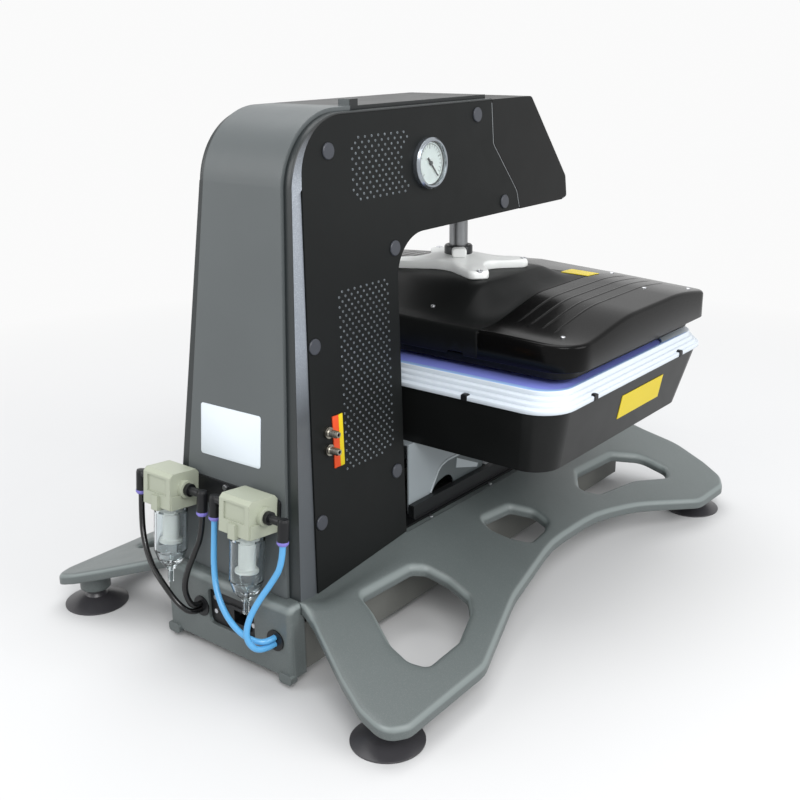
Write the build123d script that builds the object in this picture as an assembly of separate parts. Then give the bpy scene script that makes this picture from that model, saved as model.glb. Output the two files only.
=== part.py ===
from build123d import *
from math import atan, atan2, cos, degrees, hypot, pi, radians, sin, tan
import os

os.makedirs("parts", exist_ok=True)

# Drawing frame: Z up from the floor, Y towards the back, X across. Every node is
# moved by ORIGIN_SHIFT so that the origin lies under the middle of the footprint.
ORIGIN_SHIFT = 15.137


def save(shape, node):
    export_step(Pos(0, ORIGIN_SHIFT, 0) * shape, f"parts/{node}.step")


def rounded_face(corners):
    edges = []
    count = len(corners)
    tangents = []
    for index in range(count):
        before = Vector(*corners[index - 1][:2])
        here = Vector(*corners[index][:2])
        after = Vector(*corners[(index + 1) % count][:2])
        radius = corners[index][2]
        back = (before - here).normalized()
        ahead = (after - here).normalized()
        if radius == 0:
            tangents.append((here, None, here))
            continue
        half = radians(back.get_angle(ahead)) / 2
        reach = radius / tan(half)
        centre = here + (back + ahead).normalized() * (radius / sin(half))
        middle = centre + (here - centre).normalized() * radius
        tangents.append((here + back * reach, middle, here + ahead * reach))
    for index in range(count):
        start, middle, end = tangents[index]
        if middle is not None:
            edges.append(Edge.make_three_point_arc(start, middle, end))
        following = tangents[(index + 1) % count][0]
        if (following - end).length > 0.001:
            edges.append(Edge.make_line(end, following))
    face = Face(Wire(edges))
    return face if face.normal_at().Z > 0 else -face


def plain_face(points):
    return rounded_face([(x, y, 0) for x, y in points])


def side_profile(points, low_x, high_x):
    face = Plane.YZ * plain_face(points)
    return Pos(low_x, 0, 0) * extrude(face, amount=high_x - low_x)


def block(x, y, z):
    size = (x[1] - x[0], y[1] - y[0], z[1] - z[0])
    return Pos((x[0] + x[1]) / 2, (y[0] + y[1]) / 2, (z[0] + z[1]) / 2) * Box(*size)


def post(radius, low, high, x=0, y=0):
    return Pos(x, y, (low + high) / 2) * Cylinder(radius, high - low)


def mirrored(shape):
    return mirror(shape, about=Plane.YZ)


def group(shapes):
    solids = []
    for shape in shapes:
        solids.extend(shape.solids())
    return Compound(solids)


# ---------------------------------------------------------------- base casting
DECK_HALF = 95.0
DECK_TOP = 115.0
DECK_FRONT = -468.0
DECK_BACK = 396.0
WING_TIP = 320.0
WING_TIP_TOP = 45.0
WALL = 5.0
RIM_DEPTH = 16.0
RIM_ROUND = 6.0
EDGE_SNAP = 0.01
FACET_FRONT = 149.0
FACET_FALL = 0.10
PLINTH_HALF = 89.0
WELL_HALF = 80.0
WELL_FRONT = -330.0
WELL_BACK = 132.0

FALL = (DECK_TOP - WING_TIP_TOP) / (WING_TIP - DECK_HALF)
WING_ANGLE = atan(FALL)
STRETCH = 1 / cos(WING_ANGLE)
WING_PLANE = Plane(
    origin=(DECK_HALF, 0, DECK_TOP),
    x_dir=(cos(WING_ANGLE), 0, -sin(WING_ANGLE)),
    z_dir=(sin(WING_ANGLE), 0, cos(WING_ANGLE)),
)

WING_OUTLINE = [
    (95, 376, 0), (128, 377, 40), (222, 435, 60), (266, 456, 40), (304, 461, 24),
    (320, 430, 30), (315, 276, 55), (263, 130, 220), (229, -25, 260), (231, -150, 240),
    (257, -240, 260), (317, -352, 55), (320, -436, 30), (303, -462, 26), (266, -478, 40),
    (206, -491, 70), (150, -478, 60), (95, -470, 0),
]
REAR_WINDOW = [
    (142, 306, 12), (145, 204, 16), (157, 188, 14), (189, 182, 20), (226, 187, 14),
    (246, 210, 20), (268, 267, 22), (271, 336, 14), (252, 347, 14), (222, 343, 30),
    (172, 316, 30),
]
MIDDLE_WINDOW = [
    (136, 24, 14), (142, -44, 16), (170, -66, 14), (196, -62, 14), (205, -38, 14),
    (209, 6, 12), (186, 24, 10), (160, 32, 16),
]
FRONT_WINDOW = [
    (150, -232, 16), (180, -188, 12), (204, -206, 14), (218, -300, 60), (248, -366, 14),
    (233, -388, 12), (190, -384, 30), (156, -340, 20),
]
WINDOWS = {"rear": REAR_WINDOW, "middle": MIDDLE_WINDOW, "front": FRONT_WINDOW}
WINDOW_BEVEL = 9.0
WINDOW_LIP = 4.0

FOOT_X = 273.3
FOOT_Y = 415.2
CUP_RADIUS = 44.8
CUP_HEIGHT = 22.0
BOSS_TOP_RADIUS = 21.0
BOSS_END_RADIUS = 16.5
BOSS_END = 27.0
STUD_RADIUS = 5.0
STUD_TOP = 48.0
FEET = [(x, y) for x in (-FOOT_X, FOOT_X) for y in (-FOOT_Y, FOOT_Y)]


def in_wing(corners):
    return [((x - DECK_HALF) * STRETCH, y, r) for x, y, r in corners]


def below_facet(drop):
    top = DECK_TOP - drop
    far = 500.0
    points = [
        (-520, 0), (-520, top + 200), (FACET_FRONT, top + 200), (FACET_FRONT, top),
        (far, top - FACET_FALL * (far - FACET_FRONT)), (far, 0),
    ]
    return side_profile(points, 60, 520)


wing_face = rounded_face(in_wing(WING_OUTLINE))
wing_inner = offset(wing_face, amount=-WALL, kind=Kind.INTERSECTION)
rim_drop = 60.0
wing_skin = extrude(wing_face, amount=-rim_drop)
top_edges = wing_skin.edges().group_by(Axis.Z)[-1]
outer_rim = [edge for edge in top_edges if edge.bounding_box().max.X > EDGE_SNAP]
wing_skin = fillet(outer_rim, RIM_ROUND)
wing_skin = wing_skin - Pos(0, 0, -WALL) * extrude(wing_inner, amount=-rim_drop)
wing_foot = extrude(Pos(0, 0, -RIM_DEPTH) * Rectangle(700, 1200), amount=-rim_drop)
wing_skin = WING_PLANE * (wing_skin - wing_foot)
wing_skin = wing_skin & below_facet(0)

for corners in WINDOWS.values():
    hole = rounded_face(in_wing(corners))
    collar = offset(hole, amount=WINDOW_LIP, kind=Kind.ARC)
    lip = extrude(Pos(0, 0, -1) * collar, amount=-RIM_DEPTH + 3)
    wing_skin = wing_skin + WING_PLANE * lip
wing_skin = wing_skin & below_facet(0)
for corners in WINDOWS.values():
    hole = rounded_face(in_wing(corners))
    shaft = extrude(Pos(0, 0, -rim_drop) * hole, amount=rim_drop + 30)
    mouth = offset(hole, amount=WINDOW_BEVEL, kind=Kind.ARC)
    bevel = loft([Pos(0, 0, -WINDOW_BEVEL + 3) * hole, Pos(0, 0, 0.4) * mouth])
    wing_skin = wing_skin - WING_PLANE * (shaft + bevel)

boss_top = DECK_TOP - FALL * (FOOT_X - BOSS_TOP_RADIUS - DECK_HALF) - WALL
boss_line = (boss_top - BOSS_END) / 2
boss = Pos(0, 0, BOSS_END + boss_line) * Cone(BOSS_END_RADIUS, BOSS_TOP_RADIUS, 2 * boss_line)
boss_cap = extrude(Pos(0, 0, -WALL / 2) * Rectangle(700, 1200), amount=-rim_drop)
boss_cap = WING_PLANE * boss_cap
for y in (-FOOT_Y, FOOT_Y):
    foot_boss = (Pos(FOOT_X, y, 0) * boss) & boss_cap
    foot_bore = post(STUD_RADIUS, BOSS_END - 1, STUD_TOP, FOOT_X, y)
    wing_skin = wing_skin + foot_boss - foot_bore

SKIRT_HALF = 116.0
SKIRT_BACK = 409.5
SKIRT_FRONT = 384.0
SKIRT_FOOT = 15.0
SKIRT_ROUND = 12.0
LUG_FOOT = 7.0
LUG_WIDTH = 22.0
RECESS_X = (-52.0, 33.0)
RECESS_Z = (46.0, 97.0)
RECESS_ROUND = 8.0
TUBE_PORT_RADIUS = 11.0
BLACK_PORT = (46.3, 66.0)
BLUE_PORT = (-89.5, 63.0)

deck = block((-DECK_HALF, DECK_HALF), (DECK_FRONT, DECK_BACK), (DECK_TOP - RIM_DEPTH, DECK_TOP))
deck = fillet(deck.edges().filter_by(Axis.X).group_by(Axis.Z)[-1].sort_by(Axis.Y)[:1], 6.0)
deck = deck - block(
    (-PLINTH_HALF + WALL, PLINTH_HALF - WALL), (DECK_FRONT + WALL, DECK_BACK + 1), (50, DECK_TOP - WALL)
)
deck = deck - block((-WELL_HALF, WELL_HALF), (WELL_FRONT, WELL_BACK), (50, DECK_TOP + 1))
CABLE_SLOT = ((-40, 40), (190, 330))
deck = deck - block(CABLE_SLOT[0], CABLE_SLOT[1], (50, DECK_TOP + 1))
above_facet = block((PLINTH_HALF, 180), (FACET_FRONT, DECK_BACK + 1), (60, 200)) - below_facet(0)
deck = deck - above_facet - mirrored(above_facet)

skirt = block((-SKIRT_HALF, SKIRT_HALF), (SKIRT_FRONT, SKIRT_BACK), (SKIRT_FOOT, DECK_TOP))
skirt = fillet(skirt.edges().filter_by(Axis.X).group_by(Axis.Z)[-1].sort_by(Axis.Y)[-1:], SKIRT_ROUND)
skirt = fillet(skirt.edges().filter_by(Axis.Z).group_by(Axis.Y)[-1], 8.0)
lug = block((-LUG_WIDTH / 2, LUG_WIDTH / 2), (SKIRT_BACK - 8, SKIRT_BACK + 3), (LUG_FOOT, LUG_FOOT + 14))
lug = fillet(lug.edges().filter_by(Axis.Y), 5.0)
for x in (-SKIRT_HALF + LUG_WIDTH / 2, SKIRT_HALF - LUG_WIDTH / 2):
    skirt = skirt + Pos(x, 0, 0) * lug
skirt = skirt - block(
    (-SKIRT_HALF + WALL, SKIRT_HALF - WALL), (SKIRT_FRONT - 1, SKIRT_BACK - WALL), (0, DECK_TOP - WALL)
)
skirt = skirt - block((-60, 60), (SKIRT_FRONT - 1, 385), (0, DECK_TOP - WALL))
recess = Rectangle(RECESS_X[1] - RECESS_X[0], RECESS_Z[1] - RECESS_Z[0])
recess = fillet(recess.vertices(), RECESS_ROUND)
recess = extrude(Plane.XZ * recess, amount=40, both=True)
recess_at = ((RECESS_X[0] + RECESS_X[1]) / 2, (RECESS_Z[0] + RECESS_Z[1]) / 2)
skirt = skirt - Pos(recess_at[0], SKIRT_BACK, recess_at[1]) * recess
for x, z in (BLACK_PORT, BLUE_PORT):
    skirt = skirt - Pos(x, SKIRT_BACK, z) * Rot(90, 0, 0) * Cylinder(TUBE_PORT_RADIUS, 40)

CHASSIS_HALF = 110.0
CHASSIS_FRONT = -448.0
CHASSIS_BACK = 398.0
CHASSIS_FLOOR = 15.0
CHASSIS_TOP = 98.0
CHASSIS_SHEET = 2.0
CHASSIS_FLANGE = 12.0
CHASSIS_BOSS_Y = (-420.0, -240.0, -40.0, 130.0)

base_casting = deck + skirt + wing_skin + mirrored(wing_skin)
for y in CHASSIS_BOSS_Y:
    for side in (-1, 1):
        pad_x = sorted((side * (CHASSIS_HALF - CHASSIS_FLANGE), side * (CHASSIS_HALF - 2)))
        pad = block(pad_x, (y - 9, y + 9), (CHASSIS_TOP, DECK_TOP - WALL - 1))
        base_casting = base_casting + pad
base_casting = base_casting.solids().sort_by(SortBy.VOLUME)[-1]
save(base_casting, "base_casting")

# ------------------------------------------------------------------------ feet
CUP_NECK = 13.0
cup_outline = [
    (0, 5), (18, 5), (CUP_RADIUS - 2.5, 0), (CUP_RADIUS, 0), (CUP_RADIUS, 1.8),
    (26, 9.5), (CUP_NECK + 3, 13), (CUP_NECK, 17), (CUP_NECK, CUP_HEIGHT), (0, CUP_HEIGHT),
]
cup = revolve(Plane.XZ * plain_face(cup_outline), Axis.Z)
cup = cup - post(STUD_RADIUS, 10, CUP_HEIGHT + 1)
save(group([Pos(x, y, 0) * cup for x, y in FEET]), "suction_feet")

STUD_COLLAR_RADIUS = 10.0
stud = post(STUD_RADIUS, 10, STUD_TOP) + post(STUD_COLLAR_RADIUS, CUP_HEIGHT, BOSS_END)
save(group([Pos(x, y, 0) * stud for x, y in FEET]), "foot_studs")

# --------------------------------------------------------------------- chassis
chassis_outline = [
    (CHASSIS_FRONT, CHASSIS_FLOOR), (CHASSIS_BACK, CHASSIS_FLOOR), (CHASSIS_BACK, 79.0),
    (FACET_FRONT, CHASSIS_TOP), (CHASSIS_FRONT, CHASSIS_TOP),
]
chassis = side_profile(chassis_outline, -CHASSIS_HALF, CHASSIS_HALF)
chassis = chassis - block(
    (-CHASSIS_HALF + CHASSIS_SHEET, CHASSIS_HALF - CHASSIS_SHEET),
    (CHASSIS_FRONT + CHASSIS_SHEET, CHASSIS_BACK + 1),
    (CHASSIS_FLOOR + CHASSIS_SHEET, CHASSIS_TOP - CHASSIS_SHEET),
)
flange_gap = CHASSIS_HALF - CHASSIS_FLANGE
chassis = chassis - block(
    (-flange_gap, flange_gap), (CHASSIS_FRONT + CHASSIS_FLANGE, CHASSIS_BACK + 1), (60, CHASSIS_TOP + 1)
)
VENT_SLOT = (4.0, 46.0)
VENT_PITCH = 14.0
VENT_COUNT = 8
slot = extrude(Plane.XY * SlotOverall(VENT_SLOT[1], VENT_SLOT[0]), amount=CHASSIS_SHEET * 3, both=True)
for index in range(VENT_COUNT):
    at_y = -60 + index * VENT_PITCH
    chassis = chassis - Pos(0, at_y, CHASSIS_FLOOR) * slot
save(chassis, "chassis_box")

PUMP_HALF_X = 60.0
PUMP_Y = (-380.0, -200.0)
PUMP_TOP = 88.0
PUMP_LEG = 6.0
PUMP_MOTOR = {"radius": 26.0, "long": 110.0, "z": 52.0}
FIN_COUNT = 7
FIN_PITCH = 24.0
pump_floor = CHASSIS_FLOOR + CHASSIS_SHEET
pump = block((-PUMP_HALF_X, PUMP_HALF_X), PUMP_Y, (pump_floor + PUMP_LEG, PUMP_TOP - 8))
pump = fillet(pump.edges().filter_by(Axis.Y), 8.0)
motor = Rot(90, 0, 0) * Cylinder(PUMP_MOTOR["radius"], PUMP_MOTOR["long"])
pump = pump + Pos(0, PUMP_Y[1], PUMP_MOTOR["z"]) * motor
for x in (-PUMP_HALF_X + 16, PUMP_HALF_X - 16):
    for y in (PUMP_Y[0] + 20, PUMP_Y[1] - 20):
        pump = pump + post(8, pump_floor, pump_floor + PUMP_LEG + 2, x, y)
for index in range(FIN_COUNT):
    fin_y = (PUMP_Y[0] + 8 + FIN_PITCH * index, PUMP_Y[0] + 14 + FIN_PITCH * index)
    pump = pump + block((-PUMP_HALF_X + 10, PUMP_HALF_X - 10), fin_y, (60, PUMP_TOP))

VALVE_X = (20.0, 80.0)
VALVE_Y = (180.0, 206.0)
VALVE_HIGH = 26.0
COIL_LONG = 22.0
COIL_INSET = 2.0
VALVE_PORT = {"radius": 4.5, "high": 8.0, "inset": (14.0, 18.0)}
valve = block(VALVE_X, VALVE_Y, (pump_floor, pump_floor + VALVE_HIGH))
valve = valve + block(
    (VALVE_X[0] - COIL_LONG, VALVE_X[0]), (VALVE_Y[0] + COIL_INSET, VALVE_Y[1] - COIL_INSET),
    (pump_floor + COIL_INSET, pump_floor + VALVE_HIGH - COIL_INSET),
)
valve_port_y = (VALVE_Y[0] + VALVE_Y[1]) / 2
valve_port_top = pump_floor + VALVE_HIGH + VALVE_PORT["high"]
for x in (VALVE_X[0] + VALVE_PORT["inset"][0], VALVE_X[1] - VALVE_PORT["inset"][1]):
    valve = valve + post(VALVE_PORT["radius"], pump_floor + VALVE_HIGH, valve_port_top, x, valve_port_y)
save(group([pump, valve]), "vacuum_unit")

# ------------------------------------------------------------- rear power inlet
INLET_PLATE_THICK = 2.0
INLET_Y = SKIRT_BACK - WALL - INLET_PLATE_THICK
SOCKET_X = (-38.0, -10.0)
SOCKET_Z = (58.0, 80.0)
SWITCH_X = (-4.0, 10.0)
SWITCH_Z = (60.0, 80.0)
FIT_GAP = 0.3
plate_x = (RECESS_X[0] - 6, RECESS_X[1] + 6)
plate_z = (RECESS_Z[0] - 6, RECESS_Z[1] + 6)
plate_y = (INLET_Y, INLET_Y + INLET_PLATE_THICK)
inlet_plate = block(plate_x, plate_y, plate_z)
inlet_plate = inlet_plate - block(SOCKET_X, (390, 410), SOCKET_Z) - block(SWITCH_X, (390, 410), SWITCH_Z)

FLANGE = 3.0
FLANGE_DEPTH = 2.0
plate_face = INLET_Y + INLET_PLATE_THICK
socket = block(SOCKET_X, (plate_face - 22, plate_face), SOCKET_Z)
socket = socket + block(
    (SOCKET_X[0] - FLANGE, SWITCH_X[0] + 1), (plate_face, plate_face + FLANGE_DEPTH),
    (SOCKET_Z[0] - FLANGE, SOCKET_Z[1] + FLANGE),
)
socket = socket - block(
    (SOCKET_X[0] + 2, SOCKET_X[1] - 2), (plate_face - 17, plate_face + 5), (SOCKET_Z[0] + 2, SOCKET_Z[1] - 2)
)
socket_mid = (SOCKET_X[0] + SOCKET_X[1]) / 2
for step, pin_z in ((-7, 70), (0, 73), (7, 70)):
    pin_x = socket_mid + step
    socket = socket + block((pin_x - 1, pin_x + 1), (plate_face - 18, plate_face - 4), (pin_z, pin_z + 4))

bezel = block(SWITCH_X, (plate_face - 16, plate_face), SWITCH_Z)
bezel = bezel + block(
    (SWITCH_X[0] - 1.5, SWITCH_X[1] + 1.5), (plate_face, plate_face + FLANGE_DEPTH),
    (SWITCH_Z[0] - 1.5, SWITCH_Z[1] + 1.5),
)
bezel = bezel - block(
    (SWITCH_X[0] + 1.5, SWITCH_X[1] - 1.5), (plate_face - 10, plate_face + 5),
    (SWITCH_Z[0] + 1.2, SWITCH_Z[1] - 1.2),
)
SWITCH_AXIS = (plate_face - 3.0, (SWITCH_Z[0] + SWITCH_Z[1]) / 2)
SWITCH_TILT = 9.0
pivot_at = ((SWITCH_X[0] + SWITCH_X[1]) / 2, SWITCH_AXIS[0], SWITCH_AXIS[1])
SWITCH_PIN_RADIUS = 1.5
pivot_pin = Pos(*pivot_at) * Rot(0, 90, 0) * Cylinder(SWITCH_PIN_RADIUS, SWITCH_X[1] - SWITCH_X[0] - 2)
power_inlet = socket + bezel + pivot_pin
save(group([inlet_plate, power_inlet]), "power_inlet")

rocker_half = (SWITCH_X[1] - SWITCH_X[0]) / 2 - 1.5 - FIT_GAP
rocker_points = [(-3.0, -2.6), (-3.0, 2.6), (2.6, 8.2), (4.2, 8.2), (3.4, 0), (4.2, -8.2), (2.6, -8.2)]
rocker = side_profile(rocker_points, -rocker_half, rocker_half)
rocker = rocker - Rot(0, 90, 0) * Cylinder(SWITCH_PIN_RADIUS + 0.06, 40)
rocker = Pos(*pivot_at) * Rot(SWITCH_TILT, 0, 0) * rocker
save(rocker, "power_rocker")


# ---------------------------------------------------------------------- column
PANEL_TOP = 690.4
PANEL_TOP_HALF = 78.25
PANEL_SPLAY = 1.5
PANEL_THICK = 2.5
COLUMN_FRONT = 149.1
COLUMN_BACK_TOP = 318.0
COLUMN_BACK_FOOT = 334.0
HEAD_UNDER = 531.0
THROAT_ROUND = 56.0
BEND_ROUND = 70.0
SEAM = [(-73.5, PANEL_TOP, 3), (-76.8, 631, 8), (-138, 557.6, 10), (-145.6, HEAD_UNDER, 4)]
SPLAY_RATIO = tan(radians(PANEL_SPLAY))

footing = below_facet(0)
footing = footing + mirrored(footing)
footing = footing + block((-PLINTH_HALF, PLINTH_HALF), (100, DECK_BACK), (0, DECK_TOP))
footing = footing + block((-SKIRT_HALF, SKIRT_HALF), (SKIRT_FRONT, SKIRT_BACK), (0, DECK_TOP))


def panel_half(z):
    return PANEL_TOP_HALF + (PANEL_TOP - z) * SPLAY_RATIO


panel_corners = [
    (COLUMN_FRONT, 60, 0), (COLUMN_BACK_FOOT + 1, 60, 0), (COLUMN_BACK_TOP, PANEL_TOP, BEND_ROUND),
] + SEAM + [(COLUMN_FRONT, HEAD_UNDER, THROAT_ROUND)]
panel_at = Pos(PANEL_TOP_HALF, 0, PANEL_TOP) * Rot(0, -PANEL_SPLAY, 0) * Pos(0, 0, -PANEL_TOP)
panel_flat = Pos(-PANEL_THICK, 0, 0) * extrude(Plane.YZ * rounded_face(panel_corners), amount=PANEL_THICK)

VENT_HOLE = 3.0
UPPER_VENT = {"y": (129, 216), "z": (588, 664), "columns": 8, "rows": 8}
LOWER_VENT = {"y": (172, 256), "z": (262, 474), "columns": 6, "rows": 17}
vent_cut = Rot(0, 90, 0) * Rot(0, 0, 45) * extrude(Rectangle(VENT_HOLE, VENT_HOLE), amount=20, both=True)
vent_cuts = []
for area in (UPPER_VENT, LOWER_VENT):
    pitch_y = (area["y"][1] - area["y"][0]) / (area["columns"] - 1)
    pitch_z = (area["z"][1] - area["z"][0]) / (area["rows"] - 1)
    for row in range(area["rows"]):
        shift = pitch_y / 2 if row % 2 else 0
        for column in range(area["columns"] - row % 2):
            at_y = area["y"][0] + column * pitch_y + shift
            at_z = area["z"][0] + row * pitch_z
            vent_cuts.append(Pos(0, at_y, at_z) * vent_cut)
panel_flat = panel_flat - vent_cuts

GAUGE_Y = 77.5
GAUGE_Z = 618.0
GAUGE_BODY_RADIUS = 29.0
BARB_Y = 300.0
BARB_Z = (307.0, 284.0)
BARB_BORE = 5.4
side_cover_right = panel_at * panel_flat - footing
gauge_hole = Pos(0, GAUGE_Y, GAUGE_Z) * Rot(0, 90, 0) * Cylinder(GAUGE_BODY_RADIUS + FIT_GAP, 40)
barb_holes = [Pos(0, BARB_Y, z) * Rot(0, 90, 0) * Cylinder(BARB_BORE, 20) for z in BARB_Z]
side_cover_left = mirrored(panel_at * (panel_flat - [gauge_hole] - barb_holes)) - footing
save(side_cover_right, "side_cover_right")
save(side_cover_left, "side_cover_left")

CAP_RADIUS = 10.0
CAP_HEIGHT = 2.2
CAPS = [
    (273, 650), (-36, 673), (-103, 546), (154, 517), (315, 421), (166, 212), (320, 191),
]
cap = Rot(0, 90, 0) * (Pos(0, 0, CAP_HEIGHT / 2) * Cylinder(CAP_RADIUS, CAP_HEIGHT))
cap = chamfer(cap.edges().filter_by(GeomType.CIRCLE).sort_by(Axis.X)[-1:], 0.8)
caps = [panel_at * Pos(0, y, z) * cap for y, z in CAPS]
save(group(caps + [mirrored(part) for part in caps]), "cover_caps")

SHELL = 3.0
BEND_START = 612.4
REAR_TOP_Y = 336.0
REAR_LEAN = 0.1047
REAR_ANGLE = atan(REAR_LEAN)
BEND_OUTER = 90.0
CORNER_TOP = 78.0
CORNER_FLARE = 0.0733
WEB_TUCK = 12.0
WEB_DEEP = 60.0
SHELL_LOW = 70.0


def rear_y(z):
    return REAR_TOP_Y + (BEND_START - z) * REAR_LEAN


def corner_half(z):
    return CORNER_TOP + (BEND_START - z) * CORNER_FLARE


def panel_back(z):
    return COLUMN_BACK_TOP + (BEND_START - z) * (COLUMN_BACK_FOOT - COLUMN_BACK_TOP) / (BEND_START - 110)


def shell_section(z, inset, front):
    web = panel_half(z) - PANEL_THICK - FIT_GAP - inset
    back = panel_back(z)
    corner = corner_half(z) - inset
    points = [
        (-web, front), (web, front), (web, back + 0.5 - inset / 4), (corner, rear_y(z) - inset),
        (-corner, rear_y(z) - inset), (-web, back + 0.5 - inset / 4),
    ]
    return Pos(0, 0, z) * plain_face(points)


shell_ends = (SHELL_LOW, BEND_START)
lower_outer = loft([shell_section(z, 0, panel_back(z) - WEB_TUCK) for z in shell_ends], ruled=True)
lower_inner = loft([shell_section(z, SHELL, panel_back(z) - WEB_DEEP) for z in shell_ends], ruled=True)
column_shell = (lower_outer - lower_inner) - footing

centre_y = REAR_TOP_Y - BEND_OUTER * cos(REAR_ANGLE)
centre_z = BEND_START - BEND_OUTER * sin(REAR_ANGLE)


def bend_band(outer, inner, low_x, high_x, front=SEAM[0][0]):
    middle = (pi / 2 + REAR_ANGLE) / 2
    spots = []
    for radius in (outer, inner):
        low = (centre_y + radius * cos(REAR_ANGLE), centre_z + radius * sin(REAR_ANGLE))
        mid = (centre_y + radius * cos(middle), centre_z + radius * sin(middle))
        top = (centre_y, centre_z + radius)
        spots.append((low, mid, top))
    (low_a, mid_a, top_a), (low_b, mid_b, top_b) = spots
    edges = [
        Edge.make_three_point_arc(Vector(*low_a), Vector(*mid_a), Vector(*top_a)),
        Edge.make_line(Vector(*top_a), Vector(front, top_a[1])),
        Edge.make_line(Vector(front, top_a[1]), Vector(front, top_b[1])),
        Edge.make_line(Vector(front, top_b[1]), Vector(*top_b)),
        Edge.make_three_point_arc(Vector(*top_b), Vector(*mid_b), Vector(*low_b)),
        Edge.make_line(Vector(*low_b), Vector(*low_a)),
    ]
    face = Face(Wire(edges))
    face = face if face.normal_at().Z > 0 else -face
    return Pos(low_x, 0, 0) * extrude(Plane.YZ * face, amount=high_x - low_x)


TOP_HALF = 75.5
WEB_DEPTH = 22.0
column_shell = column_shell + bend_band(BEND_OUTER, BEND_OUTER - SHELL, -TOP_HALF, TOP_HALF)
web = bend_band(BEND_OUTER, BEND_OUTER - WEB_DEPTH, TOP_HALF - SHELL, TOP_HALF, centre_y - 1)
column_shell = column_shell + web + mirrored(web)
column_shell = column_shell.solids().sort_by(SortBy.VOLUME)[-1]
save(column_shell, "column_shell")

BACK_COVER_THICK = 5.0
BACK_COVER_SKIN = 1.6
BACK_COVER_TOP_HALF = 66.0
BACK_COVER_FOOT_HALF = 96.0
TOP_TAB_X = (-66.0, -46.0)
TOP_TAB_Y = (200.0, 216.0)
TOP_TAB_HIGH = 8.0
TOP_TAB_ROUND = 2.0


def cover_section(z, low, high, inset):
    ratio = (BEND_START - z) / (BEND_START - DECK_TOP)
    half = BACK_COVER_TOP_HALF + (BACK_COVER_FOOT_HALF - BACK_COVER_TOP_HALF) * ratio - inset
    near = rear_y(z) + low
    far = rear_y(z) + high
    return Pos(0, 0, z) * plain_face([(-half, near), (half, near), (half, far), (-half, far)])


lean_thick = BACK_COVER_THICK / cos(REAR_ANGLE)
skin = BACK_COVER_SKIN
back_outer = loft([cover_section(z, 0, lean_thick, 0) for z in (DECK_TOP, BEND_START + 1)], ruled=True)
hollow_ends = (DECK_TOP + 2, BEND_START + 2)
back_inner = loft([cover_section(z, -1, lean_thick - skin, skin) for z in hollow_ends], ruled=True)
back_cover = back_outer - back_inner
top_half = BACK_COVER_TOP_HALF
cover_bend = BEND_OUTER + BACK_COVER_THICK
back_cover = back_cover + bend_band(cover_bend, cover_bend - skin, -top_half, top_half)
rim = bend_band(cover_bend, BEND_OUTER, top_half - skin, top_half)
back_cover = back_cover + rim + mirrored(rim)
tab_z = centre_z + cover_bend
top_tab = block(TOP_TAB_X, TOP_TAB_Y, (tab_z - skin, tab_z + TOP_TAB_HIGH))
top_tab = fillet(top_tab.edges().filter_by(Axis.Z), TOP_TAB_ROUND)
back_cover = back_cover + top_tab
save(back_cover, "back_cover")

# ----------------------------------------------------------- frame inside it
PLATE_IN = 59.0
PLATE_OUT = 67.0
frame_corners = [
    (158, DECK_TOP, 0), (304, DECK_TOP, 0), (300, 640, 50), (238, 684, 20), (-66, 684, 8),
    (-68, 632, 10), (-130, 560, 12), (-134, 540, 4), (120, 540, 40), (158, 490, 40),
]
frame_plate = extrude(Plane.YZ * rounded_face(frame_corners), amount=PLATE_OUT - PLATE_IN)
frame_plate = Pos(PLATE_IN, 0, 0) * frame_plate
LIGHTENING_RADIUS = 42.0
LIGHTENING_SPOTS = [(230, 250), (230, 380), (230, 510)]
lightening = Rot(0, 90, 0) * Cylinder(LIGHTENING_RADIUS, 4 * PLATE_OUT)
for y, z in LIGHTENING_SPOTS:
    frame_plate = frame_plate - Pos(0, y, z) * lightening
FRAME_FOOT_X = (CABLE_SLOT[0][1], PLATE_IN)
FRAME_FOOT_Z = (DECK_TOP, DECK_TOP + 8)
frame_foot = block(FRAME_FOOT_X, (162, 186), FRAME_FOOT_Z) + block(FRAME_FOOT_X, (276, 300), FRAME_FOOT_Z)
frame_right = frame_plate + frame_foot
gauge_relief = Pos(-PLATE_IN, GAUGE_Y, GAUGE_Z) * Rot(0, 90, 0) * Cylinder(GAUGE_BODY_RADIUS + 4, 40)
frame_left = mirrored(frame_right) - gauge_relief

ROD_Y = -103.9
ROD_RADIUS = 14.0
CYLINDER_LOW = 550.0
CAP_DEEP = 20.0
BARREL_LENGTH = 90.0
CAP_SIZE = 94.0
BARREL_BORE = 40.0
BARREL_WALL = 3.0
TIE_AT = 38.0
TIE_RADIUS = 4.0
MOUNT_THICK = 8.0
GLAND_RADIUS = 21.0
GLAND_LOW = 526.0
RUNNING_FIT = 0.05
barrel_low = CYLINDER_LOW + CAP_DEEP
barrel_high = barrel_low + BARREL_LENGTH

MOUNT_Y = (ROD_Y - 24.0, ROD_Y + 60.0)
MOUNT_WALL_HIGH = 110.0
mount = block((-PLATE_IN, PLATE_IN), MOUNT_Y, (CYLINDER_LOW - MOUNT_THICK, CYLINDER_LOW))
mount_wall_y = (MOUNT_Y[1] - MOUNT_THICK, MOUNT_Y[1])
mount_wall_z = (CYLINDER_LOW - 1, CYLINDER_LOW + MOUNT_WALL_HIGH)
mount = mount + block((-PLATE_IN, PLATE_IN), mount_wall_y, mount_wall_z)
mount = mount - post(GLAND_RADIUS, 500, 600, 0, ROD_Y)
save(group([frame_right, frame_left, mount]), "inner_frame")

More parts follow.
